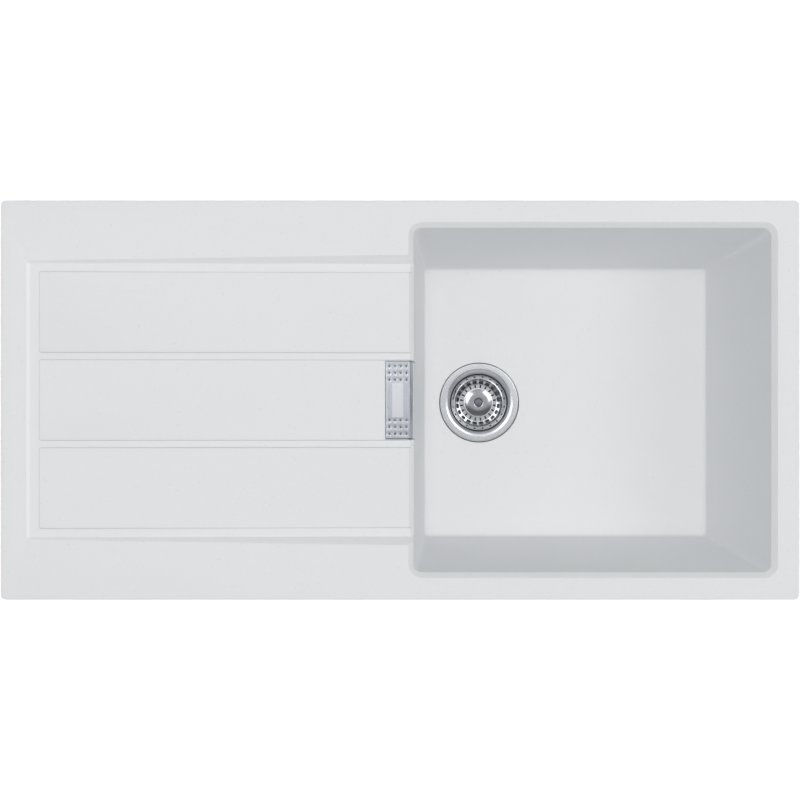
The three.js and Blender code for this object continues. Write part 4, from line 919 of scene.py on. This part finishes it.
def softRing(name, node, inner, outer, low, high, stand, lip=()):
    # a flat gasket with rounded edges and a shallow bead round its middle; lip adds spots at its outer edge
    middle, flat = (inner + outer) / 2, high - 0.15
    ring = turnedPiece(name, [
        (inner, low, 0.4), (outer, low, 0.4), *lip, (outer, flat, 0.4), (middle + 1.4, flat, 0.5),
        (middle, high, 0.8), (middle - 1.4, flat, 0.5), (inner, flat, 0.4)], 96, stand)
    dress(ring, rubber, "sink", "rubber", node)


# the gasket's lip is squeezed up round the flange, dark rubber raised into the gap partly as painted shade
# for the gap's shadow, and shows as a thin dark line
softRing("flangeGasket", "flange_gasket", 47.0, 57.0, -2.6, -1.3, wasteStand,
         ((58.3, -2.4, 0.3), (58.3, -0.6, 0.2), (57.75, -0.6, 0.2), (57.75, -1.35, 0.1)))
softRing("bodyGasket", "body_gasket", 47.0, 55.5, -11.0, -8.4, wasteStand)
print("flange made")


# the basket: one sector of holed sheet, repeated round the post

basketLook = {
    "sectors": 20, "sheet": 0.8, "columns": 8, "merge": 0.01, "edge": 0.14, "sharper": 50,
    # half length along the sheet and half width of a hole, and how square it is
    "shoulderHole": (1.0, 1.6, 2.2), "window": (2.3, 3.25, 6.0), "floorSlot": (2.35, 1.1, 6.0),
    "ringSteps": 6, "ringRun": 5.2, "ringFall": 1.55, "ringCurve": 1.25,
}


def basketRows(look):
    # the sheet's upper face from the rim down the shoulder and wall to the floor's middle
    def between(start, end, steps=4):
        return [Vector(start).lerp(Vector(end), i / steps) for i in range(steps + 1)]
    rows = [Vector(spot) for spot in ((40.7, -6.6), (40.5, -6.42), (40.1, -6.4), (39.7, -6.5), (39.45, -6.85),
                                      (39.4, -7.9), (39.35, -8.3))]
    marks = {"shoulder": (len(rows), len(rows) + 4)}
    rows += between((39.2, -8.45), (37.0, -9.5))
    # a raised bead where the shoulder ends
    rows += [Vector(spot) for spot in ((36.3, -9.85), (35.95, -9.8), (35.6, -9.62), (35.25, -9.62),
                                       (34.95, -9.85), (34.7, -10.4), (34.45, -11.4), (34.15, -15.0),
                                       (33.95, -18.8), (33.75, -20.2))]
    # the ring of windows, steeper at its outer edge
    steps = look["ringSteps"]
    marks["ring"] = (len(rows), len(rows) + steps)
    for i in range(steps + 1):
        fall = look["ringFall"] * (1 - (1 - i / steps) ** look["ringCurve"])
        rows.append(Vector((33.4 - look["ringRun"] * i / steps, -20.7 - fall)))
    rows.append(Vector((27.7, -22.36)))
    marks["floor"] = (len(rows), len(rows) + 4)
    rows += between((27.3, -22.4), (22.0, -22.4))
    rows += [Vector((radius, -22.4)) for radius in (18.0, 14.0, 10.0, 6.5, 3.4)]
    return rows, marks


def basketSector(look):
    rows, marks = basketRows(look)
    columns = look["columns"]
    sector = math.tau / look["sectors"]

    def point(row, angle, rise=0.0):
        index = min(int(row), len(rows) - 2)
        at = rows[index].lerp(rows[index + 1], row - index)
        return (at.x * math.cos(angle), at.x * math.sin(angle), at.y + rise)

    points = [point(row, (column / columns - 0.5) * sector)
              for row in range(len(rows)) for column in range(columns + 1)]
    holes = [
        (marks["shoulder"], (2, 6), look["shoulderHole"]),
        (marks["ring"], (1, 7), look["window"]),
        (marks["floor"], (2, 6), look["floorSlot"]),
    ]
    faces = []
    for row in range(len(rows) - 1):
        for column in range(columns):
            if any(r0 <= row < r1 and c0 <= column < c1 for (r0, r1), (c0, c1), _ in holes):
                continue
            corner = row * (columns + 1) + column
            faces.append((corner, corner + columns + 1, corner + columns + 2, corner + 1))
    for (r0, r1), (c0, c1), (halfLong, halfWide, square) in holes:
        length = (rows[r1] - rows[r0]).length

        def place(along, across, rise, r0=r0, r1=r1, length=length):
            return point(r0 + along / length * (r1 - r0), across, rise)

        middleRadius = (rows[r0].x + rows[r1].x) / 2
        reach = (c1 - c0) / 2 / columns * sector
        patch = holedCell(place, 0.0, length, -reach, reach, r1 - r0, c1 - c0,
                          (length / 2, 0.0, halfLong, halfWide / middleRadius), square)
        addPatch(points, faces, patch)
    return meshPiece("basketCup", points, faces)


def basketCupPiece(look):
    cup = grow(basketSector(look), roundTree, basketSteel, Copies=look["sectors"],
               First_turn=math.pi / look["sectors"])
    return atWaste(foldedSheet(cup, look["merge"], look["sheet"]))


cup = basketCupPiece(basketLook)
dress(cup, basketSteel, "basket", "polished_steel", "basket_cup")
roundEdges(cup, basketLook["edge"], 1, basketLook["sharper"])

capLook = {"top": -10.9, "crown": 9.4, "edge": 21.5, "brim": 1.5, "brimDrop": 0.25, "fall": 1.4,
           "bottom": -22.1, "sheet": 1.2, "steps": 12, "bore": 3.4, "recess": 1.7, "sides": 96}


def basketCapPiece(look):
    top, sheet, bottom = look["top"], look["sheet"], look["bottom"]
    crown, run = look["crown"], look["edge"] - look["brim"] - look["crown"]
    shares = [i / look["steps"] for i in range(look["steps"] + 1)]
    dome = [(crown + t * run, top - look["fall"] * t ** 2) for t in shares]
    recess = top - look["recess"]
    outer, inner = look["edge"] - 0.1, look["edge"] - sheet
    brim = dome[-1][1] - look["brimDrop"]
    outline = [(look["bore"], recess), (5.8, recess, 0.4), (6.0, top - 0.25, 0.5), (7.4, top, 0.8), *dome,
               (dome[-1][0] + 0.15, brim, 0.1), (outer, brim, 0.3), (outer, bottom + 0.7, 0.3),
               (look["edge"], bottom + 0.3, 0.2), (look["edge"], bottom, 0.1), (inner, bottom, 0.1),
               (inner, brim - sheet, 0.3)]
    outline += [(radius - 0.35, height - sheet) for radius, height in reversed(dome[:-1])]
    outline += [(5.8, recess - sheet, 0.8), (look["bore"], recess - sheet)]
    return turnedPiece("basketCap", outline, look["sides"], wasteStand)


dress(basketCapPiece(capLook), capSteel, "basket", "polished_steel", "basket_cap")

basketPost = turnedPiece("basketPost", [
    (0.0, -11.2), (2.6, -11.25), (5.0, -11.45, 0.5), (5.5, -11.9, 0.3), (5.5, -12.3, 0.1), (3.0, -12.3),
    (3.0, -14.1), (5.0, -14.1, 0.3), (5.0, -22.1, 0.3), (3.0, -22.1), (3.0, -25.4), (5.0, -25.4, 0.2),
    (4.6, -26.4, 0.5), (0.0, -26.6),
], 48, wasteStand, closed=False)
dress(basketPost, postSteel, "basket_stem", "brushed_steel_trim", "basket_post")

basketSeal = turnedPiece("basketSeal", [
    (10.0, -23.5, 0.3), (28.0, -23.5, 0.8), (31.0, -24.5, 0.7), (31.0, -26.2, 0.3), (29.6, -26.2, 0.4),
    (26.6, -25.5, 0.8), (10.0, -25.5, 0.3),
], 96, wasteStand)
dress(basketSeal, rubber, "basket", "rubber", "basket_seal")

basketClip = turnedPiece("basketClip", [
    (3.4, -23.5), (9.3, -23.5, 0.4), (9.3, -28.9, 0.4), (7.5, -28.9, 0.3), (7.9, -27.4, 0.4),
    (7.5, -25.1, 0.4),
    (3.4, -25.1),
], 64)
carve(basketClip, blockPiece("clipGap", -12, 12, -1.2, 1.2, -29.5, -25.5),
      blockPiece("clipGap", -1.2, 1.2, -12, 12, -29.5, -25.5))
dress(atWaste(basketClip), whitePlastic, "basket_stem", "white_plastic", "basket_clip")
print("basket made")


# under the bowl: the waste's body with its spider, its screw and nut

spigotLook = {"bore": 9.5, "outer": 12.5, "thread": 14.0, "pitch": 1.8, "sides": 64}


def spigotPiece(name, low, high, drop, look):
    # a short pipe with a coarse outside thread at its low end, laid along x
    bore, outer, start = look["bore"], look["outer"], low + look["thread"]
    pipe = turnedPiece(name, [
        (bore, low, 0.3), (outer - 0.6, low, 0.4), (outer - 0.6, start - 0.6, 0.3), (outer, start, 0.3),
        (outer, high), (bore, high)], look["sides"])
    threaded(pipe, whitePlastic, low + 1.2, start - 1.4, outer, look["pitch"], 32)
    return placed(pipe, shift(0, 0, drop) @ sideways)


def spigotHole(low, high, drop):
    return placed(rodPiece("spigotHole", spigotLook["bore"], low, high), shift(0, 0, drop) @ sideways)


wasteBodyLook = {"arms": 3, "armWidth": 4.0, "armTop": -41.3, "armDrop": 7.0, "armFrom": 7.0, "armTo": 47.5,
                 "inletDrop": -37.6, "thread": 23.9, "pitch": 2.3, "sides": 96}


def wasteBodyPiece(look):
    shell = turnedPiece("wasteBody", [
        (46.0, -11.3, 0.5), (46.0, -45.3, 4.0), (19.5, -58.3, 3.0), (19.5, -91.3, 0.4), (22.7, -91.3, 0.6),
        (22.7, -63.5, 0.3), (look["thread"], -63.0, 0.3), (look["thread"], -56.5, 3.0), (49.2, -46.2, 4.0),
        (49.2, -16.3, 1.2), (56.5, -16.3, 0.8), (56.5, -11.3, 0.6)], look["sides"])
    carve(shell, spigotHole(-52.0, -43.0, look["inletDrop"]))
    threaded(shell, whitePlastic, -89.6, -65.0, look["thread"], look["pitch"], 48)
    inlet = spigotPiece("inlet", -71.2, -47.2, look["inletDrop"], spigotLook)
    hub = ringPiece("spiderHub", 5.4, 8.0, look["armTop"], -55.3, (0.3, 0.6, 0.6, 0.3), 40)
    half, low = look["armWidth"] / 2, look["armTop"] - look["armDrop"]
    outline = [(-half, look["armTop"], 0.8), (half, look["armTop"], 0.8),
               (half + 0.2, low), (-half - 0.2, low)]
    arm = pushedPiece("spiderArm", outline, look["armFrom"], look["armTo"])
    grow(arm, roundTree, whitePlastic, Copies=look["arms"], First_turn=-math.pi / 2)
    return atWaste(joinPieces("wasteBody", [shell, inlet, hub, arm]))


dress(wasteBodyPiece(wasteBodyLook), whitePlastic, "sink", "white_plastic", "waste_body")


def knurled(piece, material, radius, low, high, ribs, size):
    # fine upright ribs round a turned piece
    outline = [(0.0, low), (size, low + size, size), (size, high - size, size), (0.0, high)]
    rib = turnedPiece("rib", outline, 8, (radius, 0, 0), closed=False, steps=2)
    grow(rib, roundTree, material, Copies=ribs)
    return joinPieces(piece.name, [piece, rib])


wasteInsert = ringPiece("wasteInsert", 3.4, 4.8, -42.3, -54.3, (0.2, 0.3, 0.3, 0.2), 40)
wasteInsert = knurled(wasteInsert, brass, 4.7, -42.8, -53.8, 24, 0.28)
dress(atWaste(wasteInsert), brass, "sink", "brass", "waste_insert")


def slottedScrew(name, look, material):
    # a cheese head that stands above its seat, and a threaded shank below it
    seat, head, shank, pitch, end = (look[key] for key in ("seat", "head", "shank", "pitch", "end"))
    top = seat + look["height"]
    core = shank - pitch / 2 + 0.02
    screw = turnedPiece(name, [
        (0.0, top), (head * 0.8, top, 0.5), (head, top - look["height"] * 0.4, 0.5), (head, seat, 0.2),
        (shank, seat, 0.2), (shank, seat - 2.0, 0.3), (core, seat - 2.6), (core, end + 1.0, 0.3),
        (core - 0.6, end, 0.2), (0.0, end)], 40, closed=False)
    reach, half = head + 1.0, look["slot"] / 2
    carve(screw, blockPiece("slot", -reach, reach, -half, half, top - look["deep"], top + 1.0))
    return threaded(screw, material, end + 0.9, seat - 2.8, shank, pitch)


wasteScrewLook = {"seat": -30.7, "head": 6.0, "height": 3.4, "shank": 3.0, "pitch": 1.0, "end": -55.3,
                  "slot": 1.6, "deep": 2.0}
wasteScrew = slottedScrew("wasteScrew", wasteScrewLook, capSteel)
dress(atWaste(wasteScrew), capSteel, "sink", "polished_steel", "waste_screw")
print("waste made")


# the overflow: rose, screw, gasket and elbow under the well

elbowLow, elbowHigh = boxOf("overflow_elbow")
roseLow, roseHigh = boxOf("overflow_rose")
wellStand = Vector(((roseLow.x + roseHigh.x) / 2, 0.0, 0.0))
roseLook = {"bore": 2.4, "edge": 14.5, "slots": 6, "slotHalf": 1.5, "slotInner": 5.2, "slotOuter": 9.0,
            "sides": 64}
overflowScrewLook = {"seat": roseHigh.z + 0.3, "head": 4.0, "height": 2.0, "shank": 2.0, "pitch": 0.7,
                     "end": roseHigh.z - 16.7, "slot": 1.07, "deep": 1.0}
elbowLook = {"outer": 13.0, "inner": 10.5, "flange": 15.5, "depth": 27.0, "floor": 2.5, "rim": 3.0,
             "spigotDrop": 13.0, "bridge": 4.5, "bridgeLow": -6.0, "bridgeHigh": -0.2, "sides": 72}


def rosePiece(look):
    top, low, edge, bore, half = roseHigh.z, roseLow.z, look["edge"], look["bore"], look["slotHalf"]
    rose = turnedPiece("overflowRose", [
        (bore, top), (5.0, top), (11.0, top - 0.15), (edge, top - 0.3, 0.3), (edge, low, 0.2), (bore, low)],
        look["sides"])
    slot = pushedPiece("roseSlot", [(-half, low - 1), (half, low - 1), (half, top + 1), (-half, top + 1)],
                       look["slotInner"], look["slotOuter"])
    grow(slot, roundTree, coverSteel, Copies=look["slots"], First_turn=-math.pi / 2)
    return placed(carve(rose, slot), shift(*wellStand))


dress(rosePiece(roseLook), basketSteel, "sink", "polished_steel", "overflow_rose")
overflowScrew = slottedScrew("overflowScrew", overflowScrewLook, zincSteel)
dress(placed(overflowScrew, shift(*wellStand)), zincSteel, "sink", "zinc_plated_steel", "overflow_screw")
softRing("overflowGasket", "overflow_gasket", 10.0, 15.5, elbowHigh.z + 0.3, elbowHigh.z + 2.3, wellStand)


def elbowPiece(look):
    outer, inner, flange, rim = look["outer"], look["inner"], look["flange"], -look["rim"]
    floor = look["floor"] - look["depth"]
    pot = turnedPiece("overflowElbow", [
        (0.0, -look["depth"]), (outer, -look["depth"], 3.0), (outer, rim, 0.6), (flange, rim, 0.5),
        (flange, 0.0, 0.4), (inner, 0.0, 0.4), (inner, floor, 1.5), (0.0, floor)],
        look["sides"], closed=False)
    carve(pot, spigotHole(-14.5, -5.0, -look["spigotDrop"]))
    spigot = spigotPiece("spigot", -35.0, -11.6, -look["spigotDrop"], spigotLook)
    half, reach = look["bridge"], inner + 0.5
    bridge = blockPiece("bridge", -half, half, -reach, reach, look["bridgeLow"], look["bridgeHigh"])
    carve(bridge, rodPiece("screwHole", roseLook["bore"], look["bridgeLow"] - 1, 1.0))
    return placed(joinPieces("overflowElbow", [pot, spigot, bridge]), shift(wellStand.x, 0, elbowHigh.z))


dress(elbowPiece(elbowLook), whitePlastic, "sink", "white_plastic", "overflow_elbow")


# the hose between elbow and waste, and its two union nuts

bodyLow = boxOf("waste_body")[0]
hoseLook = {"valley": 8.6, "rib": 10.0, "cuff": 14.0, "ribs": 57, "perRib": 8, "sides": 24, "wall": 1.3,
            "collar": 12.0, "collarBore": 7.4, "collarWidth": 2.0, "gap": 0.3}
nutLook = {"length": 15.0, "outer": 16.5, "ribs": 24, "ribSize": 0.8, "bore": 10.35, "thread": 12.85,
           "floor": 3.0, "sides": 72}


def hoseRoute(look):
    # straight out of the elbow, half a turn down, and straight on to the waste
    startX = elbowLow.x - look["gap"]
    endX = bodyLow.x - look["gap"]
    high = elbowHigh.z - elbowLook["spigotDrop"]
    low = wasteStand.z + wasteBodyLook["inletDrop"]
    radius = (high - low) / 2
    bendX = startX - look["cuff"]
    half = math.pi * radius
    length = look["cuff"] + half + endX - bendX
    count = look["ribs"] * look["perRib"]
    route = []
    for i in range(count + 1):
        gone = length * i / count
        if gone < look["cuff"]:
            route.append((startX - gone, 0.0, high))
        elif gone < look["cuff"] + half:
            angle = (gone - look["cuff"]) / radius
            route.append((bendX - radius * math.sin(angle), 0.0, high - radius * (1 - math.cos(angle))))
        else:
            route.append((bendX + gone - look["cuff"] - half, 0.0, low))
    return route, length


def hosePiece(look):
    route, length = hoseRoute(look)
    mesh = bpy.data.meshes.new("hoseRoute")
    mesh.from_pydata([Vector(spot) * mm for spot in route], [(i, i + 1) for i in range(len(route) - 1)], [])
    hose = linkMesh("overflowHose", mesh)
    grow(hose, tubeTree, greyPlastic, Length=length * mm, Cuff=look["cuff"] * mm, Ribs=float(look["ribs"]),
         Valley_radius=look["valley"] * mm, Rib_radius=look["rib"] * mm, Sides=look["sides"])
    # the route lies in y = 0, so faces of an outward skin look away from it
    if sum(face.center.y * face.normal.y for face in hose.data.polygons) < 0:
        hose.data.flip_normals()
    parts = [thicken(hose, look["wall"])]
    for x, _, z in (route[0], route[-1]):
        collar = ringPiece("collar", look["collarBore"], look["collar"], 0.0, look["collarWidth"],
                           (0.0, 0.4, 0.4, 0.0), 48)
        parts.append(placed(collar, shift(x - look["collarWidth"], 0, z) @ sideways))
    return joinPieces("overflowHose", parts)


dress(hosePiece(hoseLook), greyPlastic, "sink", "grey_plastic", "overflow_hose")


def unionNut(name, node, look):
    low, high = boxOf(node)
    body, bore, thread, length = look["outer"] - look["ribSize"], look["bore"], look["thread"], look["length"]
    nut = turnedPiece(name, [
        (bore, 0.0, 0.3), (body - 1.2, 0.0, 0.8), (body, 1.6, 0.6), (body, length, 0.5),
        (thread, length, 0.3), (thread, look["floor"], 0.3), (bore, look["floor"], 0.2)], look["sides"])
    nut = knurled(nut, whitePlastic, body - 0.1, 2.0, length - 0.6, look["ribs"], look["ribSize"])
    placed(nut, shift(low.x, 0, (low.z + high.z) / 2) @ sideways)
    dress(nut, whitePlastic, "sink", "white_plastic", node)


unionNut("upperNut", "hose_nut_upper", nutLook)
unionNut("lowerNut", "hose_nut_lower", nutLook)
print("overflow made")


# the foam strip in the groove under the lip

sealLow, sealHigh = boxOf("rim_seal")
sealLook = {"width": 5.8, "cornerRadius": 3.9, "cornerSteps": 5}


def rimSealPiece(look):
    thickness, width, steps = sealHigh.z - sealLow.z, look["width"], look["cornerSteps"]
    section = roundedOutline([
        (0.0, 0.05, 0.5), (width / 2, 0.0, 1.5), (width, 0.05, 0.5), (width, thickness - 0.05, 0.5),
        (width / 2, thickness, 1.5), (0.0, thickness - 0.05, 0.5)], True, 3)
    points = []
    for inset, height in section:
        radius = max(look["cornerRadius"] - inset, 0.4)
        x, y = sealHigh.x - inset - radius, sealHigh.y - inset - radius
        for quarter, (sideX, sideY) in enumerate(((1, 1), (-1, 1), (-1, -1), (1, -1))):
            for step in range(steps + 1):
                angle = (quarter + step / steps) * math.pi / 2
                points.append((sideX * x + radius * math.cos(angle), sideY * y + radius * math.sin(angle),
                               sealLow.z + height))
    return tidyMesh(meshPiece("rimSeal", points, ringFaces(len(section), 4 * (steps + 1), True)))


dress(rimSealPiece(sealLook), foam, "sink", "foam", "rim_seal")


# the fixing clips, each made about its own screw and set on its place

clawLook = {"plate": 2.5, "bottom": -52.0, "top": -42.0, "tail": -9.0, "reach": 25.0, "half": 7.0, "teeth": 5,
            "toothDepth": 1.6, "hole": 3.4, "beadHalf": 1.8, "beadRise": 0.9, "edge": 0.25, "sharper": 40}
clipScrewLook = {"seat": 53.8, "head": 5.5, "height": 4.0, "shank": 3.0, "pitch": 1.0, "end": 14.0,
                 "slot": 1.6, "deep": 2.0}
clipLook = {"bore": 3.4, "washer": 6.5, "washerLow": -53.5, "washerHigh": -52.3, "insert": 4.05,
            "insertLow": -21.7, "insertHigh": -10.3, "ribs": 20, "ribSize": 0.2, "clips": 8}


def clawPiece(name, look):
    # a bent plate with a pressed bead and a toothed end that bites the worktop's underside
    bottom, sheet, tail, half, bead = (look[key] for key in ("bottom", "plate", "tail", "half", "beadHalf"))
    plateTop, end = bottom + sheet, look["reach"] - sheet
    plate = pushedPiece(name, [
        (tail, bottom, 2.2), (look["reach"] - 0.2, bottom, 1.8), (look["reach"] - 0.2, plateTop + 1.5),
        (end, plateTop + 1.5), (end, plateTop, 0.8), (tail + sheet, plateTop, 0.8),
        (tail + sheet, plateTop + sheet, 0.4), (tail, plateTop + sheet, 0.4)], -half, half)
    carve(plate, rodPiece("clawHole", look["hole"], bottom - 1, plateTop + 1))
    beadTop = plateTop + look["beadRise"]
    bead = pushedPiece("bead", [(-bead, plateTop - 0.3), (bead, plateTop - 0.3), (bead - 0.4, beadTop, 0.8),
                                (0.4 - bead, beadTop, 0.8)], 7.0, end + 0.4, "x")
    outline = [(-half, plateTop + 0.6), (half, plateTop + 0.6)]
    pitch, gum = 2 * half / look["teeth"], look["top"] - look["toothDepth"]
    for tooth in range(look["teeth"]):
        right = half - tooth * pitch
        outline += [(right, gum), (right - pitch / 2, look["top"])]
    outline.append((-half, gum))
    return joinPieces(name, [plate, bead, pushedPiece("blade", outline, end + 0.1, look["reach"], "x")])


def clipPlace(number):
    # a clip's screw gives its place, and the way that its claw points gives its turn
    screwLow, screwHigh = boxOf(f"clip_{number}_screw")
    clawLow, clawHigh = boxOf(f"clip_{number}_claw")
    middle = (screwLow + screwHigh) / 2
    reach = (clawLow + clawHigh) / 2 - middle
    return shift(middle.x, middle.y, 0) @ Matrix.Rotation(math.atan2(reach.y, reach.x), 4, "Z")


def clipWasher(name, look):
    return ringPiece(name, look["bore"], look["washer"], look["washerLow"], look["washerHigh"],
                     (0.2, 0.4, 0.3, 0.2), 40)


def clipInsert(look):
    insert = ringPiece("insert", look["bore"], look["insert"], look["insertLow"], look["insertHigh"],
                       (0.3, 0.2, 0.2, 0.2), 32)
    return knurled(insert, brass, look["insert"] - 0.05, look["insertLow"] + 0.5, look["insertHigh"] - 0.5,
                   look["ribs"], look["ribSize"])


numbers = range(1, clipLook["clips"] + 1)
inserts = []
for number in numbers:
    place = clipPlace(number)
    claw = placed(clawPiece(f"clipClaw{number}", clawLook), place)
    dress(claw, zincSteel, f"clip_{number}_claw", "zinc_plated_steel", f"clip_{number}_claw")
    roundEdges(claw, clawLook["edge"], 2, clawLook["sharper"])
    screw = slottedScrew(f"clipScrew{number}", clipScrewLook, zincSteel)
    placed(screw, place @ Matrix.Rotation(math.pi, 4, "X"))
    dress(screw, zincSteel, f"clip_{number}_screw", "zinc_plated_steel", f"clip_{number}_screw")
    washer = placed(clipWasher(f"clipWasher{number}", clipLook), place)
    dress(washer, zincSteel, f"clip_{number}_carriage", "zinc_plated_steel", f"clip_{number}_washer")
    inserts.append(placed(clipInsert(clipLook), place))
brassInserts = joinPieces("brassInserts", inserts)
dress(brassInserts, brass, "sink", "brass", *[f"clip_{number}_insert" for number in numbers])
print("clips made")


# the room: soft light from all round and overhead, and two lamps that only shine in the metal

roomLight = {
    "ambient": 0.447, "ambientColor": (0.95, 1.0, 1.0, 1), "lampColor": (1.0, 0.972, 0.957),
    "lampSize": 2.6, "lampDistance": 6.5, "middle": (0.1, 0.0, -0.1),
    "floorGlow": 0.38, "floorColor": (0.86, 0.86, 0.86, 1), "floorRough": 0.8,
    "floorHalf": 6.0, "floorGap": 0.001,
    "darkStart": -0.03, "darkFull": -0.15, "darkPast": -0.42, "darkEnd": -0.5, "darkLevel": 0.3,
}
softLamps = [
    # azimuth and tilt from the sink's middle in degrees, energy
    (0.0, 0.0, 152.0),
    (0.0, 35.0, 48.5),
    (180.0, 35.0, 20.5),
]
shineLamps = [
    # azimuth and tilt from the waste in degrees, distance, width and height in metres, brightness
    (144.0, 30.0, 2.7, 1.1, 1.7, 4.0),
    (33.0, 35.0, 2.8, 1.1, 1.4, 4.0),
]


def skyward(azimuth, tilt):
    turn, lean = math.radians(azimuth), math.radians(tilt)
    return Vector((math.sin(lean) * math.cos(turn), math.sin(lean) * math.sin(turn), math.cos(lean)))


def addLamp(name, place, width, height, energy, color, shines):
    lamp = bpy.data.lights.new(name, "AREA")
    lamp.shape = "RECTANGLE"
    lamp.size, lamp.size_y = width, height
    lamp.energy = energy
    lamp.color = color
    holder = bpy.data.objects.new(name, lamp)
    holder.visible_diffuse = not shines
    holder.visible_glossy = shines
    holder.matrix_world = Matrix.Translation(place) @ place.to_track_quat("Z", "Y").to_matrix().to_4x4()
    scene.collection.objects.link(holder)


def lightPath(tree, label):
    return tree.nodes.new("ShaderNodeLightPath").outputs[label]


def shownRays(tree):
    rays = mathNode(tree, "MAXIMUM", lightPath(tree, "Is Camera Ray"), lightPath(tree, "Is Glossy Ray"))
    return mathNode(tree, "MAXIMUM", rays, lightPath(tree, "Is Transmission Ray"))


def addRoom(look):
    world = bpy.data.worlds.new("room")
    scene.world = world
    world.use_nodes = True
    tree = world.node_tree
    tree.nodes.clear()

    def background(strength, color=(1, 1, 1, 1)):
        return addNode(tree, "ShaderNodeBackground", {"Strength": strength, "Color": color}).outputs[0]

    def choose(factor, first, second):
        return addNode(tree, "ShaderNodeMixShader", {0: factor, 1: first, 2: second}).outputs[0]

    shown = choose(shownRays(tree), background(look["ambient"], look["ambientColor"]), background(1.0))
    # what shines sees a dark stretch of the studio towards the front
    height = splitPoint(tree, tree.nodes.new("ShaderNodeTexCoord").outputs["Generated"])["Y"]
    near = rangeNode(tree, height, look["darkFull"], look["darkStart"], look["darkLevel"], 1.0)
    past = rangeNode(tree, height, look["darkEnd"], look["darkPast"], 1.0, look["darkLevel"])
    shade = background(mathNode(tree, "MAXIMUM", near, past))
    addNode(tree, "ShaderNodeOutputWorld", {0: choose(lightPath(tree, "Is Glossy Ray"), shown, shade)})
    size = look["lampSize"]
    for azimuth, tilt, energy in softLamps:
        place = Vector(look["middle"]) + skyward(azimuth, tilt) * look["lampDistance"]
        addLamp("soft", place, size, size, energy, look["lampColor"], False)
    for azimuth, tilt, distance, width, height, brightness in shineLamps:
        place = wasteStand * mm + skyward(azimuth, tilt) * distance
        addLamp("shine", place, width, height, brightness * math.pi * width * height, (1, 1, 1), True)


def addFloor(look):
    level = cadBox[0][2] - look["floorGap"]
    half = look["floorHalf"]
    mesh = bpy.data.meshes.new("floor")
    mesh.from_pydata([(-half, -half, level), (half, -half, level), (half, half, level), (-half, half, level)],
                     [], [(0, 1, 2, 3)])
    floor = linkMesh("floor", mesh)
    material, tree, shader = startMaterial("paleFloor", look["floorRough"])
    shader["Base Color"].default_value = look["floorColor"]
    strength = product(tree, shownRays(tree), look["floorGlow"])
    glow = addNode(tree, "ShaderNodeEmission", {"Strength": strength})
    surface = tree.nodes["Principled BSDF"].outputs[0]
    both = addNode(tree, "ShaderNodeAddShader", {0: surface, 1: glow.outputs[0]})
    feed(tree, tree.nodes["Material Output"].inputs["Surface"], both.outputs[0])
    floor.data.materials.append(material)


addRoom(roomLight)
addFloor(roomLight)
print("room made")
